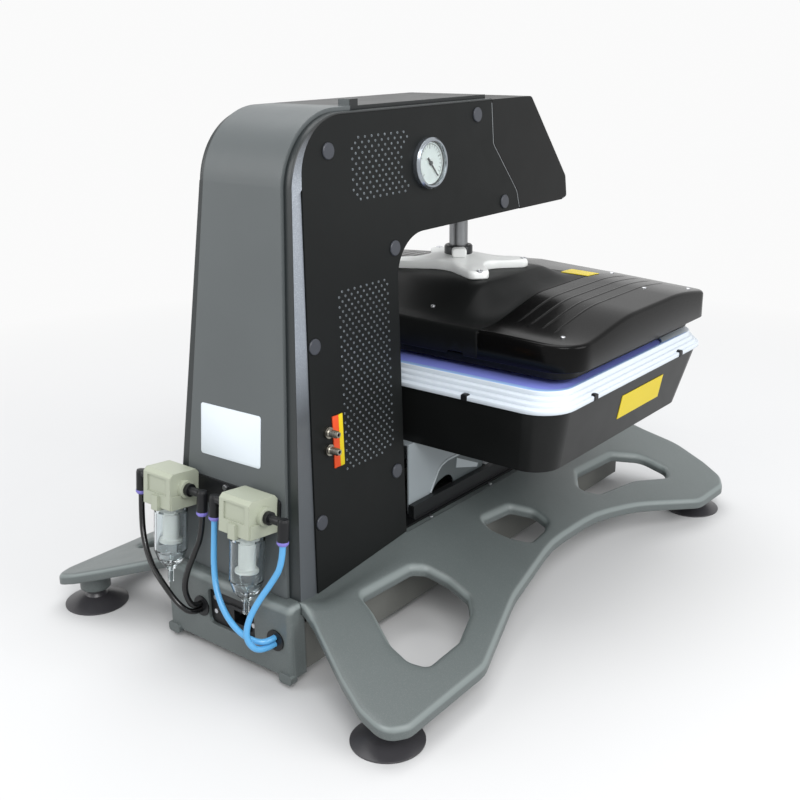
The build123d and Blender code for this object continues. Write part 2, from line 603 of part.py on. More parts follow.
tie_spots = [(x, ROD_Y + y) for x in (-TIE_AT, TIE_AT) for y in (-TIE_AT, TIE_AT)]
end_cap = Pos(0, ROD_Y, CYLINDER_LOW + CAP_DEEP / 2) * Box(CAP_SIZE, CAP_SIZE, CAP_DEEP)
end_cap = fillet(end_cap.edges().filter_by(Axis.Z), 8.0)
end_cap = end_cap - [post(TIE_RADIUS, 400, 800, x, y) for x, y in tie_spots]
gland = post(GLAND_RADIUS, GLAND_LOW, CYLINDER_LOW, 0, ROD_Y)
lower_cap = end_cap + gland - post(ROD_RADIUS + RUNNING_FIT, 400, 800, 0, ROD_Y)
upper_cap = Pos(0, 0, CAP_DEEP + BARREL_LENGTH) * end_cap
barrel = post(BARREL_BORE + BARREL_WALL, barrel_low, barrel_high, 0, ROD_Y)
barrel = barrel - post(BARREL_BORE, 400, 800, 0, ROD_Y)
ties = [post(TIE_RADIUS, CYLINDER_LOW, barrel_high + CAP_DEEP + 3, x, y) for x, y in tie_spots]
save(group([lower_cap, barrel, upper_cap] + ties), "air_cylinder")

FLOOR_SHEET = 2.5
FLOOR_FRONT = -143.0
floor_low = HEAD_UNDER + 0.5
throat_y = COLUMN_FRONT + 0.5
bend_outside = THROAT_ROUND + FLOOR_SHEET
floor_sheet = rounded_face([
    (FLOOR_FRONT, floor_low, 0), (throat_y, floor_low, THROAT_ROUND), (throat_y, DECK_TOP, 0),
    (throat_y + FLOOR_SHEET, DECK_TOP, 0), (throat_y + FLOOR_SHEET, floor_low + FLOOR_SHEET, bend_outside),
    (FLOOR_FRONT, floor_low + FLOOR_SHEET, 0),
])


def between_covers(face, low_z, high_z, inset):
    solid = Pos(-100, 0, 0) * extrude(Plane.YZ * face, amount=200)
    points = [
        (-panel_half(low_z) + inset, low_z), (panel_half(low_z) - inset, low_z),
        (panel_half(high_z) - inset, high_z), (-panel_half(high_z) + inset, high_z),
    ]
    keep = Pos(0, 450, 0) * extrude(Plane.XZ * plain_face(points), amount=900)
    return solid & keep


head_floor = between_covers(floor_sheet, DECK_TOP, 560, PANEL_THICK + FIT_GAP)
head_floor = head_floor - post(GLAND_RADIUS + FIT_GAP, 400, 800, 0, ROD_Y)
for x in ((PLATE_IN, PLATE_OUT), (-PLATE_OUT, -PLATE_IN)):
    head_floor = head_floor + block(x, (-100, 80), (floor_low + FLOOR_SHEET - 0.5, 540))
save(head_floor, "head_floor")

# ---------------------------------------------------------- hood and controls
hood_corners = [
    (SEAM[0][0] - FIT_GAP, 691.5, 0), (-177, 691.5, 10), (-278, 566, 8), (-282, 534, 4), (-267, 530, 4),
    (-145.9, 530.5, 0), (-138.4, 557.6, 10), (-77.2, 631, 8),
]
HOOD_SKIN = 3.0
hood_inner = [
    (-60, 688.5, 0), (-175.5, 688.5, 8), (-275, 565, 6), (-278.8, 536, 2), (-267, 533, 2),
    (-120, 533.5, 0), (-110, 557.6, 0), (-60, 631, 0),
]


hood = between_covers(rounded_face(hood_corners), 500, 720, 0)
hood = hood - between_covers(rounded_face(hood_inner), 500, 720, HOOD_SKIN)
SLANT_MID = (-227.5, 628.75)
SLANT = Vector(0, -101, -125.5).normalized()
slant_up = -SLANT
slant_out = Vector(1, 0, 0).cross(slant_up)
CONSOLE = Plane(origin=(0, *SLANT_MID), x_dir=(1, 0, 0), z_dir=slant_out)
CONSOLE_SIZE = (124.0, 138.0, 4.0)
console = Rectangle(CONSOLE_SIZE[0], CONSOLE_SIZE[1])
console = extrude(fillet(console.vertices(), 8.0), amount=CONSOLE_SIZE[2])
SCREEN_SIZE = (92.0, 44.0)
SCREEN_AT = 34.0
KEY_SIZE = (16.0, 9.0, 3.0)
KEY_AT = -4.0
KEY_X = (-39.0, -13.0, 13.0, 39.0)
KEY_TRAVEL = 1.0
KEY_STEM = 2.5
BUTTON_AT = -42.0
BUTTON_X = {"start_button": -30.0, "stop_button": 30.0}
BUTTON_COLLAR = 14.0
BUTTON_STEM = 8.0
BUTTON_TRAVEL = 4.0
screen_pocket = Pos(0, SCREEN_AT, CONSOLE_SIZE[2] - 1) * extrude(Rectangle(*SCREEN_SIZE), amount=5)
console = console - screen_pocket
key_bore = Cylinder(KEY_STEM + RUNNING_FIT, 60)
console = console - [Pos(x, KEY_AT, 0) * key_bore for x in KEY_X]
stem_bore = Cylinder(BUTTON_STEM + RUNNING_FIT, 60)
console = console - [Pos(x, BUTTON_AT, 0) * stem_bore for x in BUTTON_X.values()]
for x in KEY_X:
    hood = hood - CONSOLE * Pos(x, KEY_AT, 0) * Cylinder(KEY_STEM + 1.0, 40)
for x in BUTTON_X.values():
    hood = hood - CONSOLE * Pos(x, BUTTON_AT, 0) * Cylinder(BUTTON_STEM + 1.5, 40)
save(hood, "front_hood")
screen = extrude(Rectangle(SCREEN_SIZE[0] - 0.4, SCREEN_SIZE[1] - 0.4), amount=1.6)
screen = Pos(0, SCREEN_AT, CONSOLE_SIZE[2] - 1) * screen
collar = post(BUTTON_COLLAR, CONSOLE_SIZE[2] - 1, CONSOLE_SIZE[2] + 3) - stem_bore
console = console + [Pos(x, BUTTON_AT, 0) * collar for x in BUTTON_X.values()]
save(CONSOLE * group([console, screen]), "control_panel")
for index, x in enumerate(KEY_X):
    cap_face = Rectangle(KEY_SIZE[0], KEY_SIZE[1])
    key = extrude(fillet(cap_face.vertices(), 2), amount=KEY_SIZE[2])
    key = Pos(0, 0, CONSOLE_SIZE[2] + KEY_TRAVEL + 0.2) * key
    key = chamfer(key.edges().filter_by(GeomType.LINE).group_by(Axis.Z)[-1], 0.5)
    key = key + post(KEY_STEM, -6, CONSOLE_SIZE[2] + KEY_TRAVEL + 1)
    save(CONSOLE * Pos(x, KEY_AT, 0) * key, f"key_{index + 1}")
start = post(BUTTON_STEM, -8, CONSOLE_SIZE[2] + 10)
start = chamfer(start.edges().group_by(Axis.Z)[-1], 1.0)
save(CONSOLE * Pos(BUTTON_X["start_button"], BUTTON_AT, 0) * start, "start_button")
dome_low = CONSOLE_SIZE[2] + 3 + BUTTON_TRAVEL + 0.5
stop_outline = [(0, -8), (BUTTON_STEM, -8), (BUTTON_STEM, dome_low), (14, dome_low), (15.5, dome_low + 3),
                (14, dome_low + 7), (9, dome_low + 9), (0, dome_low + 9.5)]
stop = revolve(Plane.XZ * plain_face(stop_outline), Axis.Z)
save(CONSOLE * Pos(BUTTON_X["stop_button"], BUTTON_AT, 0) * stop, "stop_button")

# ----------------------------------------------------------------- pressure gauge
GAUGE = Plane(
    origin=(-panel_half(GAUGE_Z), GAUGE_Y, GAUGE_Z), x_dir=(0, -1, 0),
    z_dir=(-cos(radians(PANEL_SPLAY)), 0, sin(radians(PANEL_SPLAY))),
)
BEZEL_RADIUS = 33.5
BEZEL_HIGH = 9.0
GLASS_LOW = 6.2
case = post(BEZEL_RADIUS, 0, BEZEL_HIGH) + post(GAUGE_BODY_RADIUS, -20, 0) + post(7, -30, -20)
case = chamfer(case.edges().group_by(Axis.Z)[-1], 2.5)
case = case - post(GAUGE_BODY_RADIUS - 0.5, 1.0, BEZEL_HIGH + 1)
save(GAUGE * case, "gauge_case")
dial_radius = GAUGE_BODY_RADIUS - 0.5
SPINDLE = 1.2
dial = post(dial_radius, 1.0, 2.0) + post(2.2, 2.0, 2.6)
dial = dial - post(SPINDLE + RUNNING_FIT, 0, 5)
save(GAUGE * dial, "gauge_dial")
NEEDLE_ANGLE = -50.0
needle_face = plain_face([(-9, -1.6), (0, -1.2), (24, -0.35), (24, 0.35), (0, 1.2), (-9, 1.6)])
needle = Pos(0, 0, 3.0) * extrude(needle_face, amount=0.8) + post(3.0, 2.9, 4.4) + post(SPINDLE, 1.1, 3.0)
save(GAUGE * Rot(0, 0, NEEDLE_ANGLE) * needle, "gauge_needle")
save(GAUGE * post(dial_radius, GLASS_LOW, GLASS_LOW + 1.6), "gauge_glass")

barb_outline = [
    (0, -8), (4.9, -8), (4.9, 0), (7.5, 0), (7.5, 4), (5.0, 4), (3.6, 5.5), (3.6, 7), (5.2, 7),
    (4.0, 11), (5.2, 11), (4.0, 15), (5.0, 15), (3.8, 19), (0, 19),
]
barb = revolve(Plane.XZ * plain_face(barb_outline), Axis.Z) - post(2.2, -9, 30)
barbs = []
for z in BARB_Z:
    at = Plane(origin=(-panel_half(z), BARB_Y, z), x_dir=GAUGE.x_dir, z_dir=GAUGE.z_dir)
    barbs.append(at * barb)
save(group(barbs), "hose_barbs")

# ------------------------------------------------------------------ press group
HUB_TOP = 464.0
HUB_RADIUS = (34.0, 26.0)
ARM_TIP_TOP = 453.0
ARM_LOW = 441.0
ARM_X = 80.0
ARM_Y = 59.0
ROD_LOW = 452.0
ROD_TOP = 600.0
PISTON_CLEAR = 0.4
PISTON_THICK = 18.0
PISTON_LOW = barrel_low + 3.0
rod = post(ROD_RADIUS, ROD_LOW, ROD_TOP, 0, ROD_Y)
piston = post(BARREL_BORE - PISTON_CLEAR, PISTON_LOW, PISTON_LOW + PISTON_THICK, 0, ROD_Y)
save(rod + piston, "piston_rod")

NUT_FLATS = 40.0
NUT_THICK = 12.0
nut = extrude(RegularPolygon(NUT_FLATS / 2, 6, major_radius=False), amount=NUT_THICK)
nut = Pos(0, ROD_Y, HUB_TOP) * nut
nut = chamfer(nut.edges().group_by(Axis.Z)[-1], 1.5) - post(ROD_RADIUS, 400, 600, 0, ROD_Y)

TIP_LONG = 14.0
TIP_SHORT = 6.0
TIP_ROUND = 11.0
VALLEY_X = 44.0
VALLEY_X_ROUND = 30.0
VALLEY_Y = 33.0
VALLEY_Y_ROUND = 46.0
tip_corners = [
    (ARM_X + TIP_LONG, ARM_Y - TIP_SHORT, TIP_ROUND), (ARM_X - TIP_SHORT, ARM_Y + TIP_LONG, TIP_ROUND),
]
back_tips = tip_corners + [(0, VALLEY_Y, VALLEY_Y_ROUND)] + [(-x, y, r) for x, y, r in reversed(tip_corners)]
front_tips = [(-x, -y, r) for x, y, r in back_tips]
star = back_tips + [(-VALLEY_X, 0, VALLEY_X_ROUND)] + front_tips + [(VALLEY_X, 0, VALLEY_X_ROUND)]
spider = Pos(0, ROD_Y, ARM_LOW) * extrude(rounded_face(star), amount=ARM_TIP_TOP - ARM_LOW)
arm_run = hypot(ARM_X, ARM_Y)
SPINE_HALF = 15.0
SPINE_FLAT = 24.0
spine_low = ARM_LOW + 2
spine_points = [
    (-4, spine_low), (-4, HUB_TOP), (SPINE_FLAT, HUB_TOP), (arm_run + 2, ARM_TIP_TOP),
    (arm_run + 2, spine_low),
]
spine = side_profile(spine_points, -SPINE_HALF, SPINE_HALF)
for x, y in ((1, 1), (-1, 1), (-1, -1), (1, -1)):
    turn = degrees(atan2(y * ARM_Y, x * ARM_X)) - 90
    spider = spider + Pos(0, ROD_Y, 0) * Rot(0, 0, turn) * spine
hub = Pos(0, ROD_Y, (ARM_TIP_TOP + HUB_TOP) / 2) * Cone(*HUB_RADIUS, HUB_TOP - ARM_TIP_TOP)
CLAMP_TURN = 38.0
CLAMP_HALF = 11.0
CLAMP_OUT = (24.0, 35.0)
CLAMP_RISE = 10.0
clamp_lug = block((-CLAMP_HALF, CLAMP_HALF), CLAMP_OUT, (ARM_TIP_TOP, HUB_TOP + CLAMP_RISE))
clamp_lug = Pos(0, ROD_Y, 0) * Rot(0, 0, CLAMP_TURN) * clamp_lug
clamp_lug = fillet(clamp_lug.edges().filter_by(Axis.Z), 4.0)
spider = spider + hub + clamp_lug - post(ROD_RADIUS, ROD_LOW, 600, 0, ROD_Y)
BOLT_RADIUS = 4.0
BOLT_HEAD = 6.0
BOLT_SINK = 6.0
tips = [(x * ARM_X, ROD_Y + y * ARM_Y) for x in (-1, 1) for y in (-1, 1)]
for x, y in tips:
    spider = spider - post(BOLT_RADIUS, 400, 500, x, y) - post(BOLT_HEAD, ARM_TIP_TOP - BOLT_SINK, 500, x, y)
save(group([spider, nut]), "lift_spider")

COVER_HALF = 300.0
COVER_BACK = 62.0
COVER_FRONT = -353.0
COVER_LOW = 357.5
COVER_WALL_TOP = 396.0
CROWN_LOW = 417.0
CROWN_TOP = ARM_LOW
CENTRE_HALF = 150.0
CENTRE_FRONT = -250.0
COVER_SKIN = 4.0
COVER_FRONT_ROUND = 24.0
COVER_BACK_ROUND = 46.0


def cover_outline(half, front, back, front_round, back_round):
    return rounded_face([
        (-half, front, front_round), (half, front, front_round), (half, back, back_round),
        (-half, back, back_round),
    ])


def cover_roof(drop):
    wall = cover_outline(
        COVER_HALF - drop, COVER_FRONT + drop, COVER_BACK - drop, COVER_FRONT_ROUND - drop,
        COVER_BACK_ROUND - drop,
    )
    step = cover_outline(CENTRE_HALF, CENTRE_FRONT, -8, 20, 20)
    flat = cover_outline(100, -188, -24, 14, 14)
    foot = COVER_LOW - min(drop, 1)
    body = extrude(Pos(0, 0, foot) * wall, amount=COVER_WALL_TOP - drop - foot)
    low = loft([Pos(0, 0, COVER_WALL_TOP - drop) * wall, Pos(0, 0, CROWN_LOW - drop) * step])
    top = loft([Pos(0, 0, CROWN_LOW - drop) * step, Pos(0, 0, CROWN_TOP - drop) * flat])
    return body + low + top


CHANNEL_HALF = 62.0
CHANNEL_FRONT = -28.0
CHANNEL_FLOOR = 400.0
roof = cover_roof(0)
channel = block((-CHANNEL_HALF, CHANNEL_HALF), (CHANNEL_FRONT, COVER_BACK + 5), (CHANNEL_FLOOR, 460))
raised = Pos(0, 0, 2.5) * roof
RIB_X = (176.0, 197.0, 218.0, 239.0)
RIB_LENGTH = 330.0
RIB_WIDTH = 8.0
RIB_Y = -150.0
rib_slot = extrude(SlotOverall(RIB_LENGTH, RIB_WIDTH).rotate(Axis.Z, 90), amount=500)
for x in RIB_X:
    for side in (-1, 1):
        roof = roof + ((Pos(side * x, RIB_Y, 0) * rib_slot) & raised)
roof_skin = roof - cover_roof(COVER_SKIN)
roof_skin = roof_skin - channel
lining_half = CHANNEL_HALF + COVER_SKIN
lining_front = CHANNEL_FRONT - COVER_SKIN
lining = block((-lining_half, lining_half), (lining_front, COVER_BACK), (CHANNEL_FLOOR - COVER_SKIN, 460))
lining = (lining - channel) & roof
JOINT_GAP = 0.4
centre_block = block((-CENTRE_HALF, CENTRE_HALF), (CENTRE_FRONT, 200), (300, 500))
gap_half = CENTRE_HALF + JOINT_GAP
gap_block = block((-gap_half, gap_half), (CENTRE_FRONT - JOINT_GAP, 200), (300, 500))
centre_cover = (roof_skin & centre_block) + lining
outer_cover = roof_skin - gap_block
PLATE_TOP = 357.0
PLATE_LOW = 345.0
OUTER_SCREWS = [(264, 24), (270, -322), (165, -305), (250, -268)]
CENTRE_SCREWS = [(100, 30), (60, -232)]
SCREW_BOSS = 7.0
outer_spots = [(side * x, y) for x, y in OUTER_SCREWS for side in (-1, 1)]
centre_spots = [(side * x, y) for x, y in CENTRE_SCREWS for side in (-1, 1)]
under_roof = cover_roof(1)
for x, y in outer_spots:
    outer_cover = outer_cover + (post(SCREW_BOSS, PLATE_TOP, 500, x, y) & under_roof)
for x, y in centre_spots:
    centre_cover = centre_cover + (post(SCREW_BOSS, PLATE_TOP, 500, x, y) & under_roof)
POST_RADIUS = 9.0
POST_CLEAR = 1.0
for x, y in tips:
    centre_cover = centre_cover - post(POST_RADIUS + POST_CLEAR, 400, 500, x, y)
save(outer_cover, "heater_cover_outer")
save(centre_cover, "heater_cover_centre")

PLATE_HALF = 283.0
PLATE_FRONT = -340.0
PLATE_BACK = 50.0
PLATE_ROUND = 30.0
heater = cover_outline(PLATE_HALF, PLATE_FRONT, PLATE_BACK, PLATE_ROUND, PLATE_ROUND)
heater = extrude(Pos(0, 0, PLATE_LOW) * heater, amount=PLATE_TOP - PLATE_LOW)
for x, y in tips:
    heater = heater + post(POST_RADIUS, PLATE_TOP - 1, ARM_LOW, x, y)
save(heater, "heater_plate")

COVER_SCREW_HEAD = 5.0
COVER_SCREW_RISE = 1.2
COVER_SCREW_SINK = 3.0
roof_top = outer_cover + centre_cover
screws = []
for x, y in tips:
    bolt_head = post(BOLT_HEAD - 0.5, ARM_TIP_TOP - BOLT_SINK, ARM_TIP_TOP - 1, x, y)
    bolt_shank = post(BOLT_RADIUS, ARM_LOW, ARM_TIP_TOP - BOLT_SINK, x, y)
    hex_socket = Pos(x, y, ARM_TIP_TOP - 4) * extrude(RegularPolygon(2.6, 6), amount=5)
    screws.append(bolt_head + bolt_shank - hex_socket)
for x, y in outer_spots + centre_spots:
    under_head = post(COVER_SCREW_HEAD, 385, 500, x, y) & roof_top
    crest = under_head.bounding_box().max.Z
    head = post(COVER_SCREW_HEAD, crest - COVER_SCREW_SINK, crest + COVER_SCREW_RISE, x, y)
    screws.append(head - roof_top)
save(group(screws), "press_screws")

BADGE_THICK = 0.8
WARM_BADGE = [(-161, -196), (-114, -203), (-121, -236), (-170, -229)]
warm_badge = extrude(Pos(0, 0, 390) * plain_face(WARM_BADGE), amount=60)
warm_badge = (warm_badge & (Pos(0, 0, BADGE_THICK) * roof)) - roof
save(warm_badge.solids().sort_by(SortBy.VOLUME)[-1], "cover_badge")

# ------------------------------------------------------------------- tray group
SHELL_BOTTOM = 230.0
SHELL_TOP = 316.0
SHELL_WALL = 4.0
TRAY_LOW = (286.0, -311.0, 103.0, 40.0)
TRAY_HIGH = (303.0, -347.0, 114.0, 46.0)


def tray_tub(z_low, z_high, inset):
    faces = []
    for z in (z_low, z_high):
        share = (z - SHELL_BOTTOM) / (SHELL_TOP - SHELL_BOTTOM)
        half, front, back, corner = [low + (high - low) * share for low, high in zip(TRAY_LOW, TRAY_HIGH)]
        corner = max(corner - inset, 4)
        faces.append(Pos(0, 0, z) * cover_outline(half - inset, front + inset, back - inset, corner, corner))
    return loft(faces)


tray_solid = tray_tub(SHELL_BOTTOM, SHELL_TOP, 0)
save(tray_solid - tray_tub(SHELL_BOTTOM + SHELL_WALL, SHELL_TOP + 2, SHELL_WALL), "tray_shell")

TUB_FLOOR = 252.0
TUB_WALL = 3.0
TUB_GAP = 9.0
TUB_FOOT = 12.0
tub_in = SHELL_WALL + TUB_GAP + TUB_WALL
tub = tray_tub(TUB_FLOOR, SHELL_TOP, SHELL_WALL + TUB_GAP)
tub = tub + (tray_tub(SHELL_TOP - TUB_WALL, SHELL_TOP, SHELL_WALL))
tub = tub - tray_tub(TUB_FLOOR + TUB_WALL, SHELL_TOP + 2, tub_in)
for x in (-180, 0, 180):
    for y in (-240, 40):
        tub = tub + post(TUB_FOOT, SHELL_BOTTOM + SHELL_WALL, TUB_FLOOR, x, y)
PORT_AT = (0, -20)
PORT_RADIUS = 11.0
PORT_BORE = 3.5
tub = tub + post(PORT_RADIUS, TUB_FLOOR - 8, TUB_FLOOR + TUB_WALL + 3, *PORT_AT)
save(tub - post(PORT_BORE, 200, 300, *PORT_AT), "vacuum_tub")

RIM_LOW = SHELL_TOP
RIM_STEPS = [(0, 0, 0, 6.5), (5, 9, 4, 11.5), (10, 18, 8, 17.0), (14, 26, 12, 24.0)]
FRAME_HALF = 308.0
FRAME_FRONT = -350.6
FRAME_BACK = 117.2
FRAME_ROUND = 50.0
OPEN_HALF = 288.0
OPEN_FRONT = -250.0
OPEN_BACK = 80.0
OPEN_ROUND = 38.0
LEDGE = 8.0
LEDGE_TOP = RIM_LOW + 20.0
steps = []
for inset, inset_back, inset_front, height in RIM_STEPS:
    ring = cover_outline(
        FRAME_HALF - inset, FRAME_FRONT + inset_front, FRAME_BACK - inset_back, FRAME_ROUND - inset,
        FRAME_ROUND - inset,
    )
    steps.append(extrude(Pos(0, 0, RIM_LOW) * ring, amount=height))
frame = steps[0] + steps[1:]
mouth = cover_outline(OPEN_HALF, OPEN_FRONT, OPEN_BACK, OPEN_ROUND, OPEN_ROUND)
frame = frame - extrude(Pos(0, 0, LEDGE_TOP) * mouth, amount=30)
ledge_hole = cover_outline(OPEN_HALF - LEDGE, OPEN_FRONT + LEDGE, OPEN_BACK - LEDGE, 30, 30)
frame = frame - extrude(Pos(0, 0, RIM_LOW - 1) * ledge_hole, amount=60)
under_hollow = cover_outline(OPEN_HALF - 2, FRAME_FRONT + 24, OPEN_BACK - 2, 36, 36)
frame = frame - extrude(Pos(0, 0, RIM_LOW - 1) * under_hollow, amount=16)
CLIP_Y = (12.6, -247.3)
CLIP_BACK_X = 168.3
CLIP_HALF = 4.5
CLIP_GAP = 1.5
CLIP_IN = 7.0
CLIP_OUT = 1.5
CLIP_HIGH = 9.0


def clip_at(turn, face, along, half, out, height):
    part = block((face - CLIP_IN, face + out), (along - half, along + half), (RIM_LOW, RIM_LOW + height))
    return Rot(0, 0, turn) * part


clip_places = [(0, FRAME_HALF, y) for y in CLIP_Y] + [(180, FRAME_HALF, -y) for y in CLIP_Y]
clip_places = clip_places + [(90, FRAME_BACK, x) for x in (-CLIP_BACK_X, CLIP_BACK_X)]
clips = []
for turn, face, along in clip_places:
    frame = frame - clip_at(turn, face, along, CLIP_HALF + CLIP_GAP, 5.0, 40.0)
    clip = clip_at(turn, face, along, CLIP_HALF, CLIP_OUT, CLIP_HIGH)
    clips.append(chamfer(clip.edges().group_by(Axis.Z)[-1], 1.5))
save(frame, "membrane_frame")
save(group(clips), "frame_clips")

MEMBRANE_LOW = LEDGE_TOP + 0.2
MEMBRANE_THICK = 1.0
SOFT_GAP = 0.25
membrane_round = OPEN_ROUND - SOFT_GAP
membrane = cover_outline(
    OPEN_HALF - SOFT_GAP, OPEN_FRONT + SOFT_GAP, OPEN_BACK - SOFT_GAP, membrane_round, membrane_round
)
save(extrude(Pos(0, 0, MEMBRANE_LOW) * membrane, amount=MEMBRANE_THICK), "membrane")

TRAY_BADGE_Y = (-210.0, -82.0)
TRAY_BADGE_Z = (259.0, 295.0)
badge = tray_tub(SHELL_BOTTOM, SHELL_TOP, -BADGE_THICK) & block((-400, 0), TRAY_BADGE_Y, TRAY_BADGE_Z)
save(badge - tray_solid, "tray_badge")

HANDLE_HALF = 80.0
HANDLE_Z = 282.0
HANDLE_Y = -378.0
HANDLE_RADIUS = 6.0
HANDLE_ROUND = 16.0
handle_path = FilletPolyline(
    (-HANDLE_HALF, -320, HANDLE_Z), (-HANDLE_HALF, HANDLE_Y, HANDLE_Z),
    (HANDLE_HALF, HANDLE_Y, HANDLE_Z), (HANDLE_HALF, -320, HANDLE_Z), radius=HANDLE_ROUND,
)
handle_end = Plane(origin=handle_path @ 0, z_dir=handle_path % 0)
handle = sweep(handle_end * Circle(HANDLE_RADIUS), path=handle_path) - tray_solid
save(handle, "tray_handle")

# -------------------------------------------------------------- drawer slides
SLIDE_FRONT = -300.0
SLIDE_BACK = 118.0
SLIDE_DECK_HALF = 87.5
SLIDE_DECK_TOP = 118.0
SLIDE_LOW = SLIDE_DECK_TOP + 2.0
SLIDE_HIGH = 139.0
SLIDE_SHEET = 1.5
SLIDE_GAP = 0.3
RAIL_OUT = 82.5
MIDDLE_OUT = 79.5
INNER_OUT = 76.5
CARRIAGE_OUT = 72.0
CARRIAGE_SHEET = 2.5
CARRIAGE_BACK = 116.0
CARRIAGE_FRONT = -296.0
CARRIAGE_LOW = 121.0
slide_deck = block((-SLIDE_DECK_HALF, SLIDE_DECK_HALF), (-420, 146), (DECK_TOP, SLIDE_DECK_TOP))
slide_deck = slide_deck - block((-55, 55), (-300, 100), (100, 130))
save(slide_deck, "slide_deck")


def channel_bar(outer_x, flange_x, low_z, high_z):
    bar = block((flange_x, outer_x), (SLIDE_FRONT, SLIDE_BACK), (low_z, high_z))
    return bar - block((0, outer_x - SLIDE_SHEET), (-400, 200), (low_z + SLIDE_SHEET, high_z - SLIDE_SHEET))


rail = channel_bar(RAIL_OUT, CARRIAGE_OUT + 1, SLIDE_LOW, SLIDE_HIGH)
rail_foot_x = (CARRIAGE_OUT + 1, RAIL_OUT + SLIDE_SHEET)
rail = rail + block(rail_foot_x, (SLIDE_FRONT, SLIDE_BACK), (SLIDE_DECK_TOP, SLIDE_LOW))
save(group([rail, mirrored(rail)]), "slide_rails")
nest = SLIDE_SHEET + SLIDE_GAP
middle_slide = channel_bar(MIDDLE_OUT, CARRIAGE_OUT + 1, SLIDE_LOW + nest, SLIDE_HIGH - nest)
save(group([middle_slide, mirrored(middle_slide)]), "slide_middle")
inner_slide_z = (SLIDE_LOW + 2 * nest, SLIDE_HIGH - 2 * nest)
inner_slide = block((CARRIAGE_OUT, INNER_OUT), (SLIDE_FRONT, SLIDE_BACK), inner_slide_z)
save(group([inner_slide, mirrored(inner_slide)]), "slide_inner")

carriage_side = [
    (CARRIAGE_BACK, CARRIAGE_LOW, 4), (76, CARRIAGE_LOW, 8), (52, 150, 30), (12, 158, 20),
    (2, CARRIAGE_LOW, 6),
    (-62, CARRIAGE_LOW, 6), (-74, 152, 12), (-240, 152, 12), (-252, CARRIAGE_LOW, 6),
    (CARRIAGE_FRONT, CARRIAGE_LOW, 6), (CARRIAGE_FRONT, SHELL_BOTTOM, 0), (CARRIAGE_BACK, SHELL_BOTTOM, 0),
]
carriage_face = Plane.YZ * rounded_face(carriage_side)
side_sheet = Pos(CARRIAGE_OUT - CARRIAGE_SHEET, 0, 0) * extrude(carriage_face, amount=CARRIAGE_SHEET)
top_z = (SHELL_BOTTOM - CARRIAGE_SHEET, SHELL_BOTTOM)
carriage = block((-CARRIAGE_OUT, CARRIAGE_OUT), (CARRIAGE_FRONT, CARRIAGE_BACK), top_z)
carriage = carriage - block((-45, 45), (-260, 60), (200, 240))
save(carriage + side_sheet + mirrored(side_sheet), "tray_carriage")

# ---------------------------------------------------------- filters and fittings
FILTER_TOP = 248.0
FILTER_X = (91.0, -52.0)
BRACKET_THICK = 3.0
FILTER_HALF = 26.0
FILTER_DEEP = 48.0
FILTER_HIGH = 48.0
FILTER_AXIS = BRACKET_THICK + FILTER_DEEP / 2
BOWL_RADIUS = 22.0
BOWL_END = 134.0
BOWL_WALL = 2.5
PORT_DROP = 22.0
ELBOW_REACH = 60.0
TUBE_RADIUS = 4.0
COLLET_END = 50.0
FILTER_WALL = Plane(
    origin=(0, rear_y(FILTER_TOP) + lean_thick, FILTER_TOP),
    x_dir=(1, 0, 0), z_dir=(0, cos(REAR_ANGLE), sin(REAR_ANGLE)),
)


def hanging(profile, x):
    turned = revolve(Plane.XZ * plain_face(profile), Axis.Z)
    return FILTER_WALL * Pos(x, 0, FILTER_AXIS) * Rot(-90, 0, 0) * turned


def cross_pin(radius, low_x, high_x, down):
    pin = Rot(0, 90, 0) * Cylinder(radius, high_x - low_x)
    return FILTER_WALL * Pos((low_x + high_x) / 2, down, FILTER_AXIS) * pin


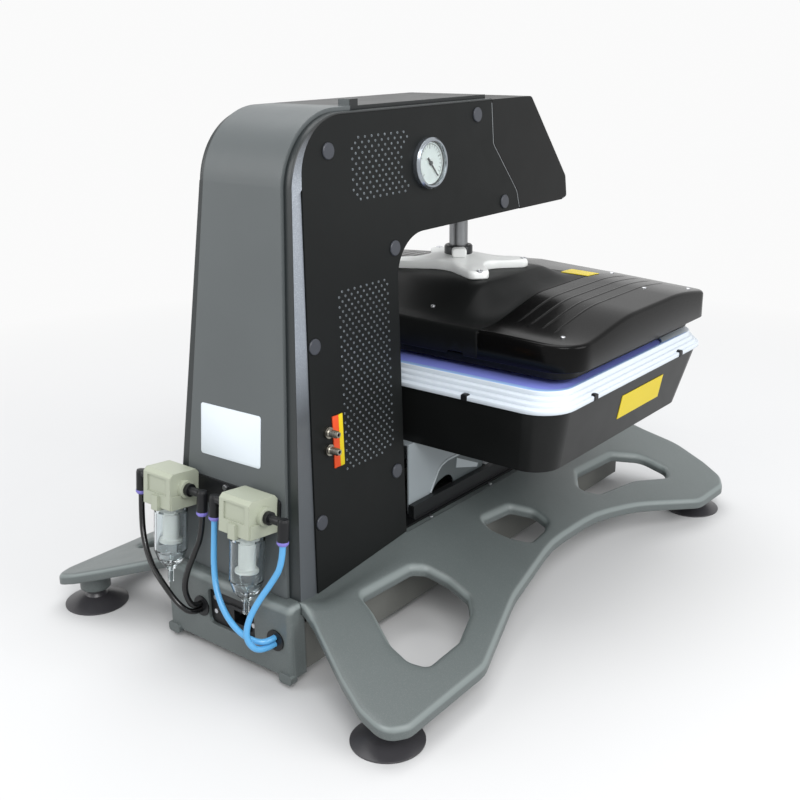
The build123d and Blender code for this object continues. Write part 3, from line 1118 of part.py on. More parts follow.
BRACKET_REACH = 30.0
BRACKET_DOWN = (8.0, 42.0)
bracket_x = (FILTER_X[1] - BRACKET_REACH, FILTER_X[0] + BRACKET_REACH)
bracket = block(bracket_x, BRACKET_DOWN, (0, BRACKET_THICK))
bracket = fillet(bracket.edges().filter_by(Axis.Z), 5.0)
save(FILTER_WALL * bracket, "filter_bracket")
body_out = (BRACKET_THICK, BRACKET_THICK + FILTER_DEEP)
SHOULDER_DOWN = 30.0
SHOULDER_OUT = 2.0
PORT_STUB = 7.0
DRAIN_END = 158.0
bodies = []
bowls = []
inserts = []
elbows = []
collets = []
for x in FILTER_X:
    body = block((-FILTER_HALF, FILTER_HALF), (0, FILTER_HIGH), body_out)
    body = chamfer(body.edges().filter_by(Axis.X).group_by(Axis.Y)[0], 5.0)
    body = body - block((-18, 18), (8, SHOULDER_DOWN), (body_out[1] - 2, 60))
    shoulder_half = FILTER_HALF + SHOULDER_OUT
    shoulder_out = (BRACKET_THICK, body_out[1] - SHOULDER_OUT)
    body = body + block((-shoulder_half, shoulder_half), (SHOULDER_DOWN, FILTER_HIGH), shoulder_out)
    body = body + block((-6, 6), (SHOULDER_DOWN + 2, FILTER_HIGH + 4), (body_out[1] - 8, body_out[1] + 4))
    body = FILTER_WALL * Pos(x, 0, 0) * body
    stub = FILTER_HALF + PORT_STUB
    body = body + cross_pin(12, x - stub, x + stub, PORT_DROP)
    bodies.append(body)
    bowl_outer = [
        (0, FILTER_HIGH), (BOWL_RADIUS - 2, FILTER_HIGH), (BOWL_RADIUS - 2, 56), (BOWL_RADIUS, 58),
        (BOWL_RADIUS, 112), (BOWL_RADIUS - 5, 126), (BOWL_RADIUS - 12, BOWL_END), (6, BOWL_END + 2),
        (6, 140), (4, 142), (4, DRAIN_END), (0, DRAIN_END),
    ]
    bowl_inner = [
        (0, FILTER_HIGH - 1), (BOWL_RADIUS - 2 - BOWL_WALL, FILTER_HIGH - 1), (BOWL_RADIUS - BOWL_WALL, 60),
        (BOWL_RADIUS - BOWL_WALL, 111), (BOWL_RADIUS - 7, 123), (0, 130),
    ]
    drain = [(0, 120), (2, 120), (2, DRAIN_END + 2), (0, DRAIN_END + 2)]
    bowl = hanging(bowl_outer, x) - hanging(bowl_inner, x) - hanging(drain, x) - body
    bowls.append(bowl)
    insert = [
        (0, FILTER_HIGH), (15, FILTER_HIGH), (15, 60), (11, 62), (11, 96), (15, 98), (15, 101), (0, 101),
    ]
    inserts.append(hanging(insert, x))
    for side in (-1, 1):
        axis_x = x + side * ELBOW_REACH
        pin_x = sorted((x + side * stub, axis_x))
        hex_x = sorted((x + side * stub, x + side * (stub + 6)))
        barrel_part = hanging([(0, 16), (6, 17), (7, 20), (7, 45), (0, 45)], axis_x)
        elbow = barrel_part + cross_pin(5.5, *pin_x, PORT_DROP) + cross_pin(8.5, *hex_x, PORT_DROP)
        elbows.append(elbow)
        collet = [(0, 45), (7.5, 45), (7.5, 48), (6, 48), (6, COLLET_END), (0, COLLET_END)]
        collets.append(hanging(collet, axis_x))
save(group(bodies), "filter_bodies")
save(group(bowls), "filter_bowls")
save(group(inserts), "filter_inserts")
save(group(elbows), "elbow_fittings")
save(group(collets), "tube_collets")

GROMMET_FACE = SKIRT_BACK + 2.0
TUBE_PAIR = 4.3
grommets = []
for x, z in (BLACK_PORT, BLUE_PORT):
    grommet = Pos(x, SKIRT_BACK - 4.5, z) * Rot(-90, 0, 0) * post(TUBE_PORT_RADIUS - FIT_GAP, 0, 4.5)
    grommet = grommet + Pos(x, SKIRT_BACK, z) * Rot(-90, 0, 0) * post(TUBE_PORT_RADIUS + 3, 0, 2)
    grommets.append(grommet)
save(group(grommets), "tube_grommets")


def collet_mouth(x):
    return FILTER_WALL.from_local_coords(Vector(x, COLLET_END, FILTER_AXIS))


def port_mouth(port, lift, out):
    return Vector(port[0], GROMMET_FACE + out, port[1] + lift)


TUBE_MIDDLES = {
    "air_tube_black_outer": [(139, 424, 141), (113, 434, 113), (82, 439, 94), (58, 439, 76)],
    "air_tube_black_inner": [(41, 421, 147), (51, 427, 120), (55, 430, 97), (51, 428, 79)],
    "air_tube_blue_inner": [
        (3, 422, 142), (-8, 430, 113), (-30, 436, 88), (-58, 438, 73), (-80, 433, 67.5),
    ],
    "air_tube_blue_outer": [
        (-99, 421, 150), (-86, 432, 126), (-78, 443, 102), (-78, 449, 80), (-85, 443, 64),
    ],
}
TUBE_ENDS = {
    "air_tube_black_outer": (FILTER_X[0] + ELBOW_REACH, BLACK_PORT, -TUBE_PAIR, 16.0),
    "air_tube_black_inner": (FILTER_X[0] - ELBOW_REACH, BLACK_PORT, TUBE_PAIR, 12.0),
    "air_tube_blue_inner": (FILTER_X[1] + ELBOW_REACH, BLUE_PORT, TUBE_PAIR, 12.5),
    "air_tube_blue_outer": (FILTER_X[1] - ELBOW_REACH, BLUE_PORT, -TUBE_PAIR, 17.0),
}
EXIT_RUN = 26.0
ARC_SHARE = 0.45
for tube, middles in TUBE_MIDDLES.items():
    mouth_x, port, lift, port_run = TUBE_ENDS[tube]
    start = collet_mouth(mouth_x)
    route = [start, start + FILTER_WALL.y_dir * EXIT_RUN] + [Vector(*point) for point in middles]
    route = route + [port_mouth(port, lift, port_run), port_mouth(port, lift, 0)]
    radii = []
    for before, here, after in zip(route, route[1:], route[2:]):
        turn = radians((here - before).get_angle(after - here))
        shorter = min((here - before).length, (after - here).length)
        radii.append(ARC_SHARE * shorter / tan(turn / 2))
    path = FilletPolyline(*route, radius=radii)
    section = Plane(origin=path @ 0, z_dir=path % 0) * Circle(TUBE_RADIUS)
    swept = sweep(section, path=path)
    save(swept, tube)
    ratio = swept.volume / (pi * TUBE_RADIUS ** 2 * path.length)
    bends = [round(radius) for radius in radii]
    print(tube, "length", round(path.length), "radii", bends, "volume", round(ratio, 3))

# --------------------------------------------------------- blank plates and screws
PLATE_SKIN = 0.8
NAME_PLATE = {"x": 108.0, "down": 67.0, "at": (10.0, -56.0), "turn": 1.2}
name_plate = extrude(Rectangle(NAME_PLATE["x"], NAME_PLATE["down"]), amount=PLATE_SKIN)
name_plate = FILTER_WALL * Pos(*NAME_PLATE["at"], 0) * Rot(0, 0, NAME_PLATE["turn"]) * name_plate
LABEL_Y = (272.0, 291.0)
LABEL_Z = (256.0, 325.0)
LABEL_THICK = 1.6
hose_label = block((0, LABEL_THICK), LABEL_Y, LABEL_Z)
save(group([name_plate, mirrored(panel_at * hose_label)]), "blank_plates")

inlet_screw = Rot(-90, 0, 0) * post(3.2, 0, 1.6)
small_screws = [Pos(x, plate_face, z) * inlet_screw for x, z in ((23, 64), (23, 84), (-46, 66))]
small_screws.append(FILTER_WALL * post(3.5, BRACKET_THICK, BRACKET_THICK + 2.2, 14.5, 14))
for x in (-91.3, 91.3):
    for y in (88, -64):
        small_screws.append(post(2.8, DECK_TOP, DECK_TOP + 1.8, x, y))
save(group(small_screws), "small_screws")
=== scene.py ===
import bpy
import bmesh
import math
from mathutils import Matrix, Vector
from mathutils.geometry import delaunay_2d_cdt


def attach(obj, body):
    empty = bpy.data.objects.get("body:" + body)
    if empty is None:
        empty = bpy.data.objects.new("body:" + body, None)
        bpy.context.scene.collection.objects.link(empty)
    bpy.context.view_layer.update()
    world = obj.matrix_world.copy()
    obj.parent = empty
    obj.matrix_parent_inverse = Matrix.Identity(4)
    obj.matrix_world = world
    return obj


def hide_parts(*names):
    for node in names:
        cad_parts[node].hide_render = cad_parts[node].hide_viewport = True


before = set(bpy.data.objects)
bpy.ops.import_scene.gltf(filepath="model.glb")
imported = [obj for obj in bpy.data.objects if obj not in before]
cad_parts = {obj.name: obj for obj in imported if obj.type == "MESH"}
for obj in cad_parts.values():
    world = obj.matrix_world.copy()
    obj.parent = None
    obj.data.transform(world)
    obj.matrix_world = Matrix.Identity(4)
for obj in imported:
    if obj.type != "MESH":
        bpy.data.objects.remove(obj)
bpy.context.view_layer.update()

scene = bpy.context.scene
scene.view_settings.view_transform = "Standard"
mm = 0.001
back = 0.015137  # the origin sits this far in front of the middle of the feet
print("frame loaded", len(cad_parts), "nodes")


def at(x, y, z):
    return Vector((x * mm, y * mm + back, z * mm))


# ---- camera, from the photograph's vantage point
viewPoint = {"place": (-965.0, 1248.1, 779.7), "yaw": 218.7, "pitch": 18.5, "roll": -0.7, "lens": 49.2, "sensor": 36.0}


def aimCamera(spec):
    yaw, pitch, roll = (math.radians(spec[key]) for key in ("yaw", "pitch", "roll"))
    backward = Vector((math.sin(yaw) * math.cos(pitch), -math.cos(yaw) * math.cos(pitch), math.sin(pitch)))
    level = (-backward).cross(Vector((0, 0, 1))).normalized()
    upright = level.cross(-backward).normalized()
    right = level * math.cos(roll) + upright * math.sin(roll)
    up = upright * math.cos(roll) - level * math.sin(roll)
    turn = Matrix((right, up, backward)).transposed().to_4x4()
    data = bpy.data.cameras.new("photoCamera")
    data.lens = spec["lens"]
    data.sensor_width = spec["sensor"]
    camera = bpy.data.objects.new("photoCamera", data)
    camera.matrix_world = Matrix.Translation(at(*spec["place"])) @ turn
    scene.collection.objects.link(camera)
    scene.camera = camera


aimCamera(viewPoint)

# ---- floor, world and lamps
studio = {
    "floorTone": (0.59, 0.59, 0.59), "skyTone": (0.95, 0.97, 1.0), "skyLight": 0.7, "sheet": 60.0,
    "white": (0.96, 0.96, 0.96), "fadeFrom": 0.75, "fadeTo": 1.9,
}
lamps = {
    "keyLamp": {"place": (-2.6, 2.6, 3.2), "size": 2.2, "watts": 120.0},
    "sideLamp": {"place": (-3.4, -0.6, 1.8), "size": 2.0, "watts": 62.0},
    "topLamp": {"place": (0.6, -0.4, 3.4), "size": 2.6, "watts": 70.0},
    "rearLamp": {"place": (2.2, 3.0, 1.9), "size": 1.8, "watts": 34.0},
}


def backdropRays(nodes, links):
    rays = nodes.new("ShaderNodeLightPath")
    pair = nodes.new("ShaderNodeMath")
    pair.operation = "MAXIMUM"
    links.new(rays.outputs["Is Camera Ray"], pair.inputs[0])
    links.new(rays.outputs["Is Glossy Ray"], pair.inputs[1])
    every = nodes.new("ShaderNodeMath")
    every.operation = "MAXIMUM"
    links.new(pair.outputs[0], every.inputs[0])
    links.new(rays.outputs["Is Transmission Ray"], every.inputs[1])
    return every.outputs[0]


def buildStudio():
    world = bpy.data.worlds.new("studioWorld")
    scene.world = world
    world.use_nodes = True
    nodes, links = world.node_tree.nodes, world.node_tree.links
    nodes.clear()
    output = nodes.new("ShaderNodeOutputWorld")
    mix = nodes.new("ShaderNodeMixShader")
    glow = nodes.new("ShaderNodeBackground")
    seen = nodes.new("ShaderNodeBackground")
    glow.inputs["Color"].default_value = (*studio["skyTone"], 1)
    glow.inputs["Strength"].default_value = studio["skyLight"]
    seen.inputs["Color"].default_value = (*studio["white"], 1)
    seen.inputs["Strength"].default_value = 1.0
    links.new(backdropRays(nodes, links), mix.inputs[0])
    links.new(glow.outputs[0], mix.inputs[1])
    links.new(seen.outputs[0], mix.inputs[2])
    links.new(mix.outputs[0], output.inputs[0])
    for name, spec in lamps.items():
        data = bpy.data.lights.new(name, "AREA")
        data.energy = spec["watts"]
        data.size = spec["size"]
        lamp = bpy.data.objects.new(name, data)
        place = Vector(spec["place"])
        aim = (Vector((0, 0, 0.35)) - place).to_track_quat("-Z", "Y")
        lamp.matrix_world = Matrix.Translation(place) @ aim.to_matrix().to_4x4()
        scene.collection.objects.link(lamp)
    mesh = bpy.data.meshes.new("studioFloor")
    sheet = bmesh.new()
    bmesh.ops.create_grid(sheet, x_segments=1, y_segments=1, size=studio["sheet"] / 2)
    sheet.to_mesh(mesh)
    sheet.free()
    floor = bpy.data.objects.new("studioFloor", mesh)
    scene.collection.objects.link(floor)
    material = bpy.data.materials.new("floorPaper")
    material.use_nodes = True
    nodes, links = material.node_tree.nodes, material.node_tree.links
    shader = nodes["Principled BSDF"]
    shader.inputs["Base Color"].default_value = (*studio["floorTone"], 1)
    shader.inputs["Roughness"].default_value = 0.9
    shader.inputs["Specular IOR Level"].default_value = 0.0
    fade = nodes.new("ShaderNodeMapRange")
    fade.inputs["From Min"].default_value = studio["fadeFrom"]
    fade.inputs["From Max"].default_value = studio["fadeTo"]
    reach = nodes.new("ShaderNodeVectorMath")
    reach.operation = "LENGTH"
    where = nodes.new("ShaderNodeTexCoord")
    links.new(where.outputs["Object"], reach.inputs[0])
    links.new(reach.outputs["Value"], fade.inputs["Value"])
    white = nodes.new("ShaderNodeEmission")
    white.inputs["Color"].default_value = (*studio["white"], 1)
    mix = nodes.new("ShaderNodeMixShader")
    links.new(fade.outputs["Result"], mix.inputs[0])
    links.new(shader.outputs[0], mix.inputs[1])
    links.new(white.outputs[0], mix.inputs[2])
    links.new(mix.outputs[0], nodes["Material Output"].inputs["Surface"])
    mesh.materials.append(material)


buildStudio()
print("camera and studio ready")


# ---- materials: every finish has mottling, uneven gloss and a fine surface grain
def linear(*rgb):
    return tuple((c / 255 / 12.92) if c <= 10 else (((c / 255 + 0.055) / 1.055) ** 2.4) for c in rgb)


def finish(name, rgb, rough=0.5, metal=0.0, coat=0.0, mottle=0.08, patch=7.0, grain=700.0, relief=0.05,
           smear=0.08, soft=0.0008, speck=None, sheen=0.5):
    material = bpy.data.materials.new(name)
    material.use_nodes = True
    nodes, links = material.node_tree.nodes, material.node_tree.links
    shader = nodes["Principled BSDF"]
    shader.inputs["Metallic"].default_value = metal
    shader.inputs["Coat Weight"].default_value = coat
    shader.inputs["Specular IOR Level"].default_value = sheen
    shader.inputs["Coat Roughness"].default_value = 0.08
    where = nodes.new("ShaderNodeTexCoord")
    cloud = nodes.new("ShaderNodeTexNoise")
    cloud.inputs["Scale"].default_value = patch
    cloud.inputs["Detail"].default_value = 5
    links.new(where.outputs["Object"], cloud.inputs["Vector"])
    tint = nodes.new("ShaderNodeValToRGB")
    base = Vector(linear(*rgb))
    tint.color_ramp.elements[0].position = 0.3
    tint.color_ramp.elements[1].position = 0.7
    tint.color_ramp.elements[0].color = (*(base * (1 - mottle)), 1)
    tint.color_ramp.elements[1].color = (*(base * (1 + mottle)), 1)
    links.new(cloud.outputs["Fac"], tint.inputs["Fac"])
    colour = tint.outputs["Color"]
    fine = nodes.new("ShaderNodeTexNoise")
    fine.inputs["Scale"].default_value = grain
    fine.inputs["Detail"].default_value = 3
    links.new(where.outputs["Object"], fine.inputs["Vector"])
    if speck:
        flecks = nodes.new("ShaderNodeValToRGB")
        flecks.color_ramp.elements[0].position = 0.52
        flecks.color_ramp.elements[1].position = 0.66
        links.new(fine.outputs["Fac"], flecks.inputs["Fac"])
        blend = nodes.new("ShaderNodeMix")
        blend.data_type = "RGBA"
        links.new(flecks.outputs["Color"], blend.inputs["Factor"])
        links.new(colour, blend.inputs["A"])
        blend.inputs["B"].default_value = (*linear(*speck), 1)
        colour = blend.outputs["Result"]
    links.new(colour, shader.inputs["Base Color"])
    wipe = nodes.new("ShaderNodeTexNoise")
    wipe.inputs["Scale"].default_value = patch * 3.1
    wipe.inputs["Detail"].default_value = 6
    wipe.inputs["Distortion"].default_value = 0.6
    links.new(where.outputs["Object"], wipe.inputs["Vector"])
    gloss = nodes.new("ShaderNodeMapRange")
    gloss.inputs["To Min"].default_value = max(rough - smear, 0.02)
    gloss.inputs["To Max"].default_value = min(rough + smear, 1.0)
    links.new(wipe.outputs["Fac"], gloss.inputs["Value"])
    links.new(gloss.outputs["Result"], shader.inputs["Roughness"])
    bump = nodes.new("ShaderNodeBump")
    bump.inputs["Strength"].default_value = relief
    bump.inputs["Distance"].default_value = 0.001
    links.new(fine.outputs["Fac"], bump.inputs["Height"])
    if soft:
        edge = nodes.new("ShaderNodeBevel")
        edge.inputs["Radius"].default_value = soft
        links.new(edge.outputs["Normal"], bump.inputs["Normal"])
    links.new(bump.outputs["Normal"], shader.inputs["Normal"])
    return material


def clearFinish(name, rgb, rough=0.03, ior=1.45):
    material = finish(name, rgb, rough=rough, mottle=0.02, relief=0.0, smear=0.02, soft=0)
    shader = material.node_tree.nodes["Principled BSDF"]
    shader.inputs["Transmission Weight"].default_value = 1.0
    shader.inputs["IOR"].default_value = ior
    return material


castPaint = finish("castPaint", (84, 91, 90), rough=0.4, mottle=0.05, grain=900, relief=0.10, soft=0.0022, speck=(96, 101, 102), sheen=0.5)
columnPaint = finish("columnPaint", (84, 89, 90), rough=0.42, mottle=0.05, grain=1100, relief=0.07, soft=0.002, sheen=0.4)
stripTone = {"rough": 0.36, "mottle": 0.05, "grain": 1000, "relief": 0.1, "speck": (172, 178, 186), "sheen": 0.5}
stripPaint = finish("stripPaint", (134, 140, 148), soft=0.001, **stripTone)
facetPaint = finish("facetPaint", (134, 140, 148), soft=0, **stripTone)
# painted shade: the dark band between the back cover and the bright facet stands for the shadow in the gap between
# them
gapShade = finish("gapShade", (36, 41, 42), rough=0.4, mottle=0.05, grain=1000, relief=0.1, soft=0, sheen=0.4)
chassisPaint = finish("chassisPaint", (99, 100, 96), rough=0.5, mottle=0.07, grain=800, relief=0.06, sheen=0.35)
blackPanel = finish("blackPanel", (17, 19, 19), rough=0.5, mottle=0.12, grain=1300, relief=0.14, soft=0.0012, sheen=0.16)
hoodGloss = finish("hoodGloss", (16, 17, 17), rough=0.4, mottle=0.10, grain=700, relief=0.05, soft=0.003, sheen=0.16)
coverGloss = finish("coverGloss", (8, 8, 8), rough=0.2, coat=0.0, mottle=0.15, grain=420, relief=0.015, smear=0.05, soft=0, sheen=0.11)
coverMatte = finish("coverMatte", (16, 17, 17), rough=0.42, mottle=0.15, grain=900, relief=0.05, soft=0, sheen=0.12)
rubberCup = finish("rubberCup", (52, 51, 54), rough=0.36, mottle=0.12, grain=350, relief=0.05, sheen=0.6)
zincSteel = finish("zincSteel", (196, 198, 202), rough=0.3, metal=1.0, mottle=0.08, grain=600, relief=0.04)
chrome = finish("chrome", (222, 222, 226), rough=0.14, metal=1.0, mottle=0.04, grain=900, relief=0.01)
rodChrome = finish("rodChrome", (140, 142, 144), rough=0.42, metal=1.0, mottle=0.06, grain=700, relief=0.02)
barbNickel = finish("barbNickel", (150, 146, 136), rough=0.3, metal=1.0, mottle=0.08, grain=700, relief=0.02)
slideSteel = finish("slideSteel", (34, 36, 38), rough=0.36, metal=0.5, mottle=0.10, grain=700, relief=0.03)
alloy = finish("alloy", (190, 192, 196), rough=0.38, metal=0.9, mottle=0.06, grain=500, relief=0.05)
plateSteel = finish("plateSteel", (120, 124, 128), rough=0.42, metal=0.8, mottle=0.10, grain=400, relief=0.05)
blackPlastic = finish("blackPlastic", (20, 21, 23), rough=0.36, mottle=0.10, grain=900, relief=0.05, soft=0.0006, sheen=0.3)
capPlastic = finish("capPlastic", (50, 53, 60), rough=0.34, mottle=0.08, grain=800, relief=0.04)
spiderPaint = finish("spiderPaint", (226, 228, 226), rough=0.32, coat=0.1, mottle=0.03, grain=600, relief=0.03, soft=0.002)
framePaint = finish("framePaint", (202, 210, 218), rough=0.36, coat=0.1, mottle=0.03, grain=700, relief=0.02, soft=0)
membraneSkin = finish("membraneSkin", (136, 146, 232), rough=0.36, mottle=0.05, grain=300, relief=0.05, soft=0)
trayPaint = finish("trayPaint", (18, 19, 19), rough=0.32, coat=0.05, mottle=0.12, grain=700, relief=0.03, soft=0.002, sheen=0.18)
carriagePaint = finish("carriagePaint", (84, 92, 94), rough=0.44, mottle=0.05, grain=900, relief=0.05, soft=0.001)
# painted highlight: the light colour of the lip strips and lugs stands for light caught on the turned edge
lipHighlight = finish("lipHighlight", (176, 184, 188), rough=0.4, mottle=0.05, grain=900, relief=0.05, soft=0)
deckGloss = finish("deckGloss", (16, 17, 18), rough=0.3, mottle=0.10, grain=700, relief=0.02, sheen=0.2)
filterPaint = finish("filterPaint", (160, 165, 148), rough=0.4, mottle=0.04, grain=900, relief=0.06, soft=0.0014)
insertWhite = finish("insertWhite", (232, 232, 226), rough=0.4, mottle=0.03, grain=800, relief=0.03)
bowlClear = clearFinish("bowlClear", (236, 242, 244))
gaugeGlass = clearFinish("gaugeGlass", (244, 250, 250), rough=0.02)
collet = finish("colletRing", (120, 112, 190), rough=0.34, mottle=0.04, grain=900, relief=0.02)
tubeBlack = finish("tubeBlack", (12, 12, 13), rough=0.2, coat=0.2, mottle=0.05, grain=500, relief=0.01, soft=0, sheen=0.4)
tubeBlue = finish("tubeBlue", (84, 156, 206), rough=0.3, coat=0.2, mottle=0.05, grain=500, relief=0.01, soft=0)
whitePlate = finish("whitePlate", (212, 220, 226), rough=0.4, mottle=0.02, grain=800, relief=0.01)
yellowPlate = finish("yellowPlate", (204, 182, 20), rough=0.4, mottle=0.03, grain=800, relief=0.01, sheen=0.3)
orangePlate = finish("orangePlate", (206, 72, 30), rough=0.4, mottle=0.04, grain=800, relief=0.01, sheen=0.3)
panelFilm = finish("panelFilm", (44, 48, 54), rough=0.34, mottle=0.04, grain=800, relief=0.02, smear=0.03, soft=0)
keyGrey = finish("keyGrey", (176, 180, 184), rough=0.4, mottle=0.03, grain=900, relief=0.03)
startGreen = finish("startGreen", (24, 140, 62), rough=0.25, coat=0.3, mottle=0.04, grain=500, relief=0.01)
stopRed = finish("stopRed", (190, 24, 22), rough=0.25, coat=0.3, mottle=0.04, grain=500, relief=0.01)
gaugeBlack = finish("gaugeBlack", (150, 156, 162), rough=0.22, metal=0.9, mottle=0.06, grain=800, relief=0.01)
dialWhite = finish("dialWhite", (238, 240, 238), rough=0.5, mottle=0.01, grain=900, relief=0.01, soft=0)



def zoned(material, rgb, tests):
    nodes, links = material.node_tree.nodes, material.node_tree.links
    shader = nodes["Principled BSDF"]
    where = nodes.new("ShaderNodeTexCoord")
    mask = None
    for normal, distance, fade in tests:
        reach = nodes.new("ShaderNodeVectorMath")
        reach.operation = "DOT_PRODUCT"
        reach.inputs[1].default_value = normal
        links.new(where.outputs["Object"], reach.inputs[0])
        past = nodes.new("ShaderNodeMapRange")
        past.inputs["From Min"].default_value = distance
        past.inputs["From Max"].default_value = distance + fade
        links.new(reach.outputs["Value"], past.inputs["Value"])
        if mask:
            either = nodes.new("ShaderNodeMath")
            either.operation = "MAXIMUM"
            links.new(mask, either.inputs[0])
            links.new(past.outputs[0], either.inputs[1])
            past = either
        mask = past.outputs[0]
    blend = nodes.new("ShaderNodeMix")
    blend.data_type = "RGBA"
    links.new(mask, blend.inputs["Factor"])
    links.new(shader.inputs["Base Color"].links[0].from_socket, blend.inputs["A"])
    blend.inputs["B"].default_value = (*linear(*rgb), 1)
    links.new(blend.outputs["Result"], shader.inputs["Base Color"])


# painted highlight: faces that slope between flat and upright, such as rims and window bevels, are mixed toward a
# lighter colour
def paintRimHighlight(material, rgb, flat, turned):
    nodes, links = material.node_tree.nodes, material.node_tree.links
    shader = nodes["Principled BSDF"]
    facing = nodes.new("ShaderNodeTexCoord")
    parts = nodes.new("ShaderNodeSeparateXYZ")
    links.new(facing.outputs["Normal"], parts.inputs[0])
    share = None
    for start, end in ((flat, turned), (0.05, 0.3)):
        ramp = nodes.new("ShaderNodeMapRange")
        ramp.inputs["From Min"].default_value = start
        ramp.inputs["From Max"].default_value = end
        links.new(parts.outputs["Z"], ramp.inputs["Value"])
        if share:
            both = nodes.new("ShaderNodeMath")
            both.operation = "MULTIPLY"
            links.new(share, both.inputs[0])
            links.new(ramp.outputs["Result"], both.inputs[1])
            share = both.outputs[0]
        else:
            share = ramp.outputs["Result"]
    blend = nodes.new("ShaderNodeMix")
    blend.data_type = "RGBA"
    links.new(share, blend.inputs["Factor"])
    links.new(shader.inputs["Base Color"].links[0].from_socket, blend.inputs["A"])
    blend.inputs["B"].default_value = (*linear(*rgb), 1)
    links.new(blend.outputs["Result"], shader.inputs["Base Color"])


# painted highlight on the sloping rims and window bevels of the casting
paintRimHighlight(castPaint, (110, 118, 117), 0.9, 0.74)
zoned(columnPaint, (24, 27, 28), [((0, -1, 0), -0.2311, 0.0005)])
# painted shade: the strip grows darker towards the bottom, from about 0.43 m down to 0.34 m
zoned(stripPaint, (84, 88, 92), [((0, 0, -1), -0.43, 0.09)])
# painted shade along the strip's rear edge next to the back cover; above 0.6124 m on the top bend the strip is dark as
# well
zoned(stripPaint, (36, 41, 42), [((0, 1, 0.1047), 0.41405, 0.0003), ((0, 0, 1), 0.6124, 0.001)])
zoned(facetPaint, (24, 26, 27), [((0, 0, 1), 0.615, 0.06)])
sheetBehind = [((0, 0, 1), 0.18), ((0, 0.447, 0.894), 0.17886), ((0, 0.825, 0.565), 0.14675), ((0, 0.852, 0.523), 0.14247)]
zoned(carriagePaint, (146, 154, 158), [(normal, distance, 0.0003) for normal, distance in sheetBehind])

nodeFinish = {
    "base_casting": castPaint, "suction_feet": rubberCup, "foot_studs": zincSteel, "chassis_box": chassisPaint,
    "vacuum_unit": alloy, "power_inlet": blackPlastic, "side_cover_right": blackPanel, "side_cover_left": blackPanel,
    "cover_caps": capPlastic, "column_shell": stripPaint, "back_cover": columnPaint, "inner_frame": plateSteel,
    "air_cylinder": alloy, "head_floor": blackPanel, "front_hood": hoodGloss, "control_panel": panelFilm,
    "gauge_case": gaugeBlack, "gauge_dial": dialWhite, "gauge_glass": gaugeGlass, "hose_barbs": barbNickel,
    "slide_deck": deckGloss, "slide_rails": slideSteel, "filter_bracket": blackPlastic, "filter_bodies": filterPaint,
    "filter_bowls": bowlClear, "filter_inserts": insertWhite, "elbow_fittings": blackPlastic, "tube_collets": collet,
    "tube_grommets": blackPlastic, "blank_plates": whitePlate, "small_screws": zincSteel,
    "air_tube_black_outer": tubeBlack, "air_tube_black_inner": tubeBlack, "air_tube_blue_inner": tubeBlue,
    "air_tube_blue_outer": tubeBlue, "piston_rod": rodChrome, "lift_spider": spiderPaint,
    "heater_cover_outer": coverGloss, "heater_cover_centre": coverMatte, "heater_plate": trayPaint,
    "press_screws": zincSteel, "cover_badge": yellowPlate, "membrane_frame": framePaint, "frame_clips": blackPlastic,
    "membrane": membraneSkin, "tray_shell": trayPaint, "vacuum_tub": alloy, "tray_badge": yellowPlate,
    "tray_handle": chrome, "tray_carriage": carriagePaint, "slide_inner": slideSteel, "slide_middle": slideSteel,
    "gauge_needle": blackPlastic, "power_rocker": blackPlastic, "key_1": keyGrey, "key_2": keyGrey,
    "key_3": keyGrey, "key_4": keyGrey, "start_button": startGreen, "stop_button": stopRed,
}
for node, material in nodeFinish.items():
    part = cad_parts[node]
    for holder in part.material_slots:
        holder.link = "OBJECT"
        holder.material = material
    if not part.material_slots:
        part.data.materials.append(material)
print("materials on", len(nodeFinish), "nodes")

# ---- mesh helpers
def smooth(value):
    value = max(0.0, min(1.0, value))
    return value * value * (3 - 2 * value)


def along(table, value):
    if value <= table[0][0]:
        return table[0][1]
    for (low, start), (high, end) in zip(table, table[1:]):
        if value <= high:
            return start + (end - start) * (value - low) / (high - low)
    return table[-1][1]


def addPiece(name, shape, finishes, body, nodes=(), sharp=35.0):
    bmesh.ops.remove_doubles(shape, verts=shape.verts, dist=0.000004)
    bmesh.ops.recalc_face_normals(shape, faces=shape.faces)
    for face in shape.faces:
        face.smooth = True
    for edge in shape.edges:
        if len(edge.link_faces) == 2 and edge.calc_face_angle(0) > math.radians(sharp):
            edge.smooth = False
    mesh = bpy.data.meshes.new(name)
    shape.to_mesh(mesh)
    shape.free()
    for material in finishes:
        mesh.materials.append(material)
    piece = bpy.data.objects.new(name, mesh)
    scene.collection.objects.link(piece)
    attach(piece, body)
    if nodes:
        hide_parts(*nodes)
    print(name, len(mesh.polygons), "faces")
    return piece


def roundedOutline(corners, step=8.0):
    points = []
    count = len(corners)
    for index, (u, v, radius) in enumerate(corners):
        here = Vector((u, v))
        toBack = (Vector(corners[index - 1][:2]) - here).normalized()
        toNext = (Vector(corners[(index + 1) % count][:2]) - here).normalized()
        if radius <= 0:
            points.append(here)
            continue
        half = toBack.angle(toNext) / 2
        reach = radius / math.tan(half)
        centre = here + (toBack + toNext).normalized() * (radius / math.sin(half))
        first = here + toBack * reach - centre
        last = here + toNext * reach - centre
        turn = first.angle_signed(last)
        parts = max(2, int(abs(math.degrees(turn)) / step))
        for part in range(parts + 1):
            angle = -turn * part / parts
            points.append(centre + Matrix.Rotation(angle, 2) @ first)
    return points


def loopVerts(shape, places):
    return [shape.verts.new(place) for place in places]


def loopEdges(shape, verts):
    return [shape.edges.new((a, b)) for a, b in zip(verts, verts[1:] + verts[:1])]


def bridge(shape, low, high, slot=0):
    for index in range(len(low)):
        after = (index + 1) % len(low)
        face = shape.faces.new((low[index], low[after], high[after], high[index]))
        face.material_index = slot


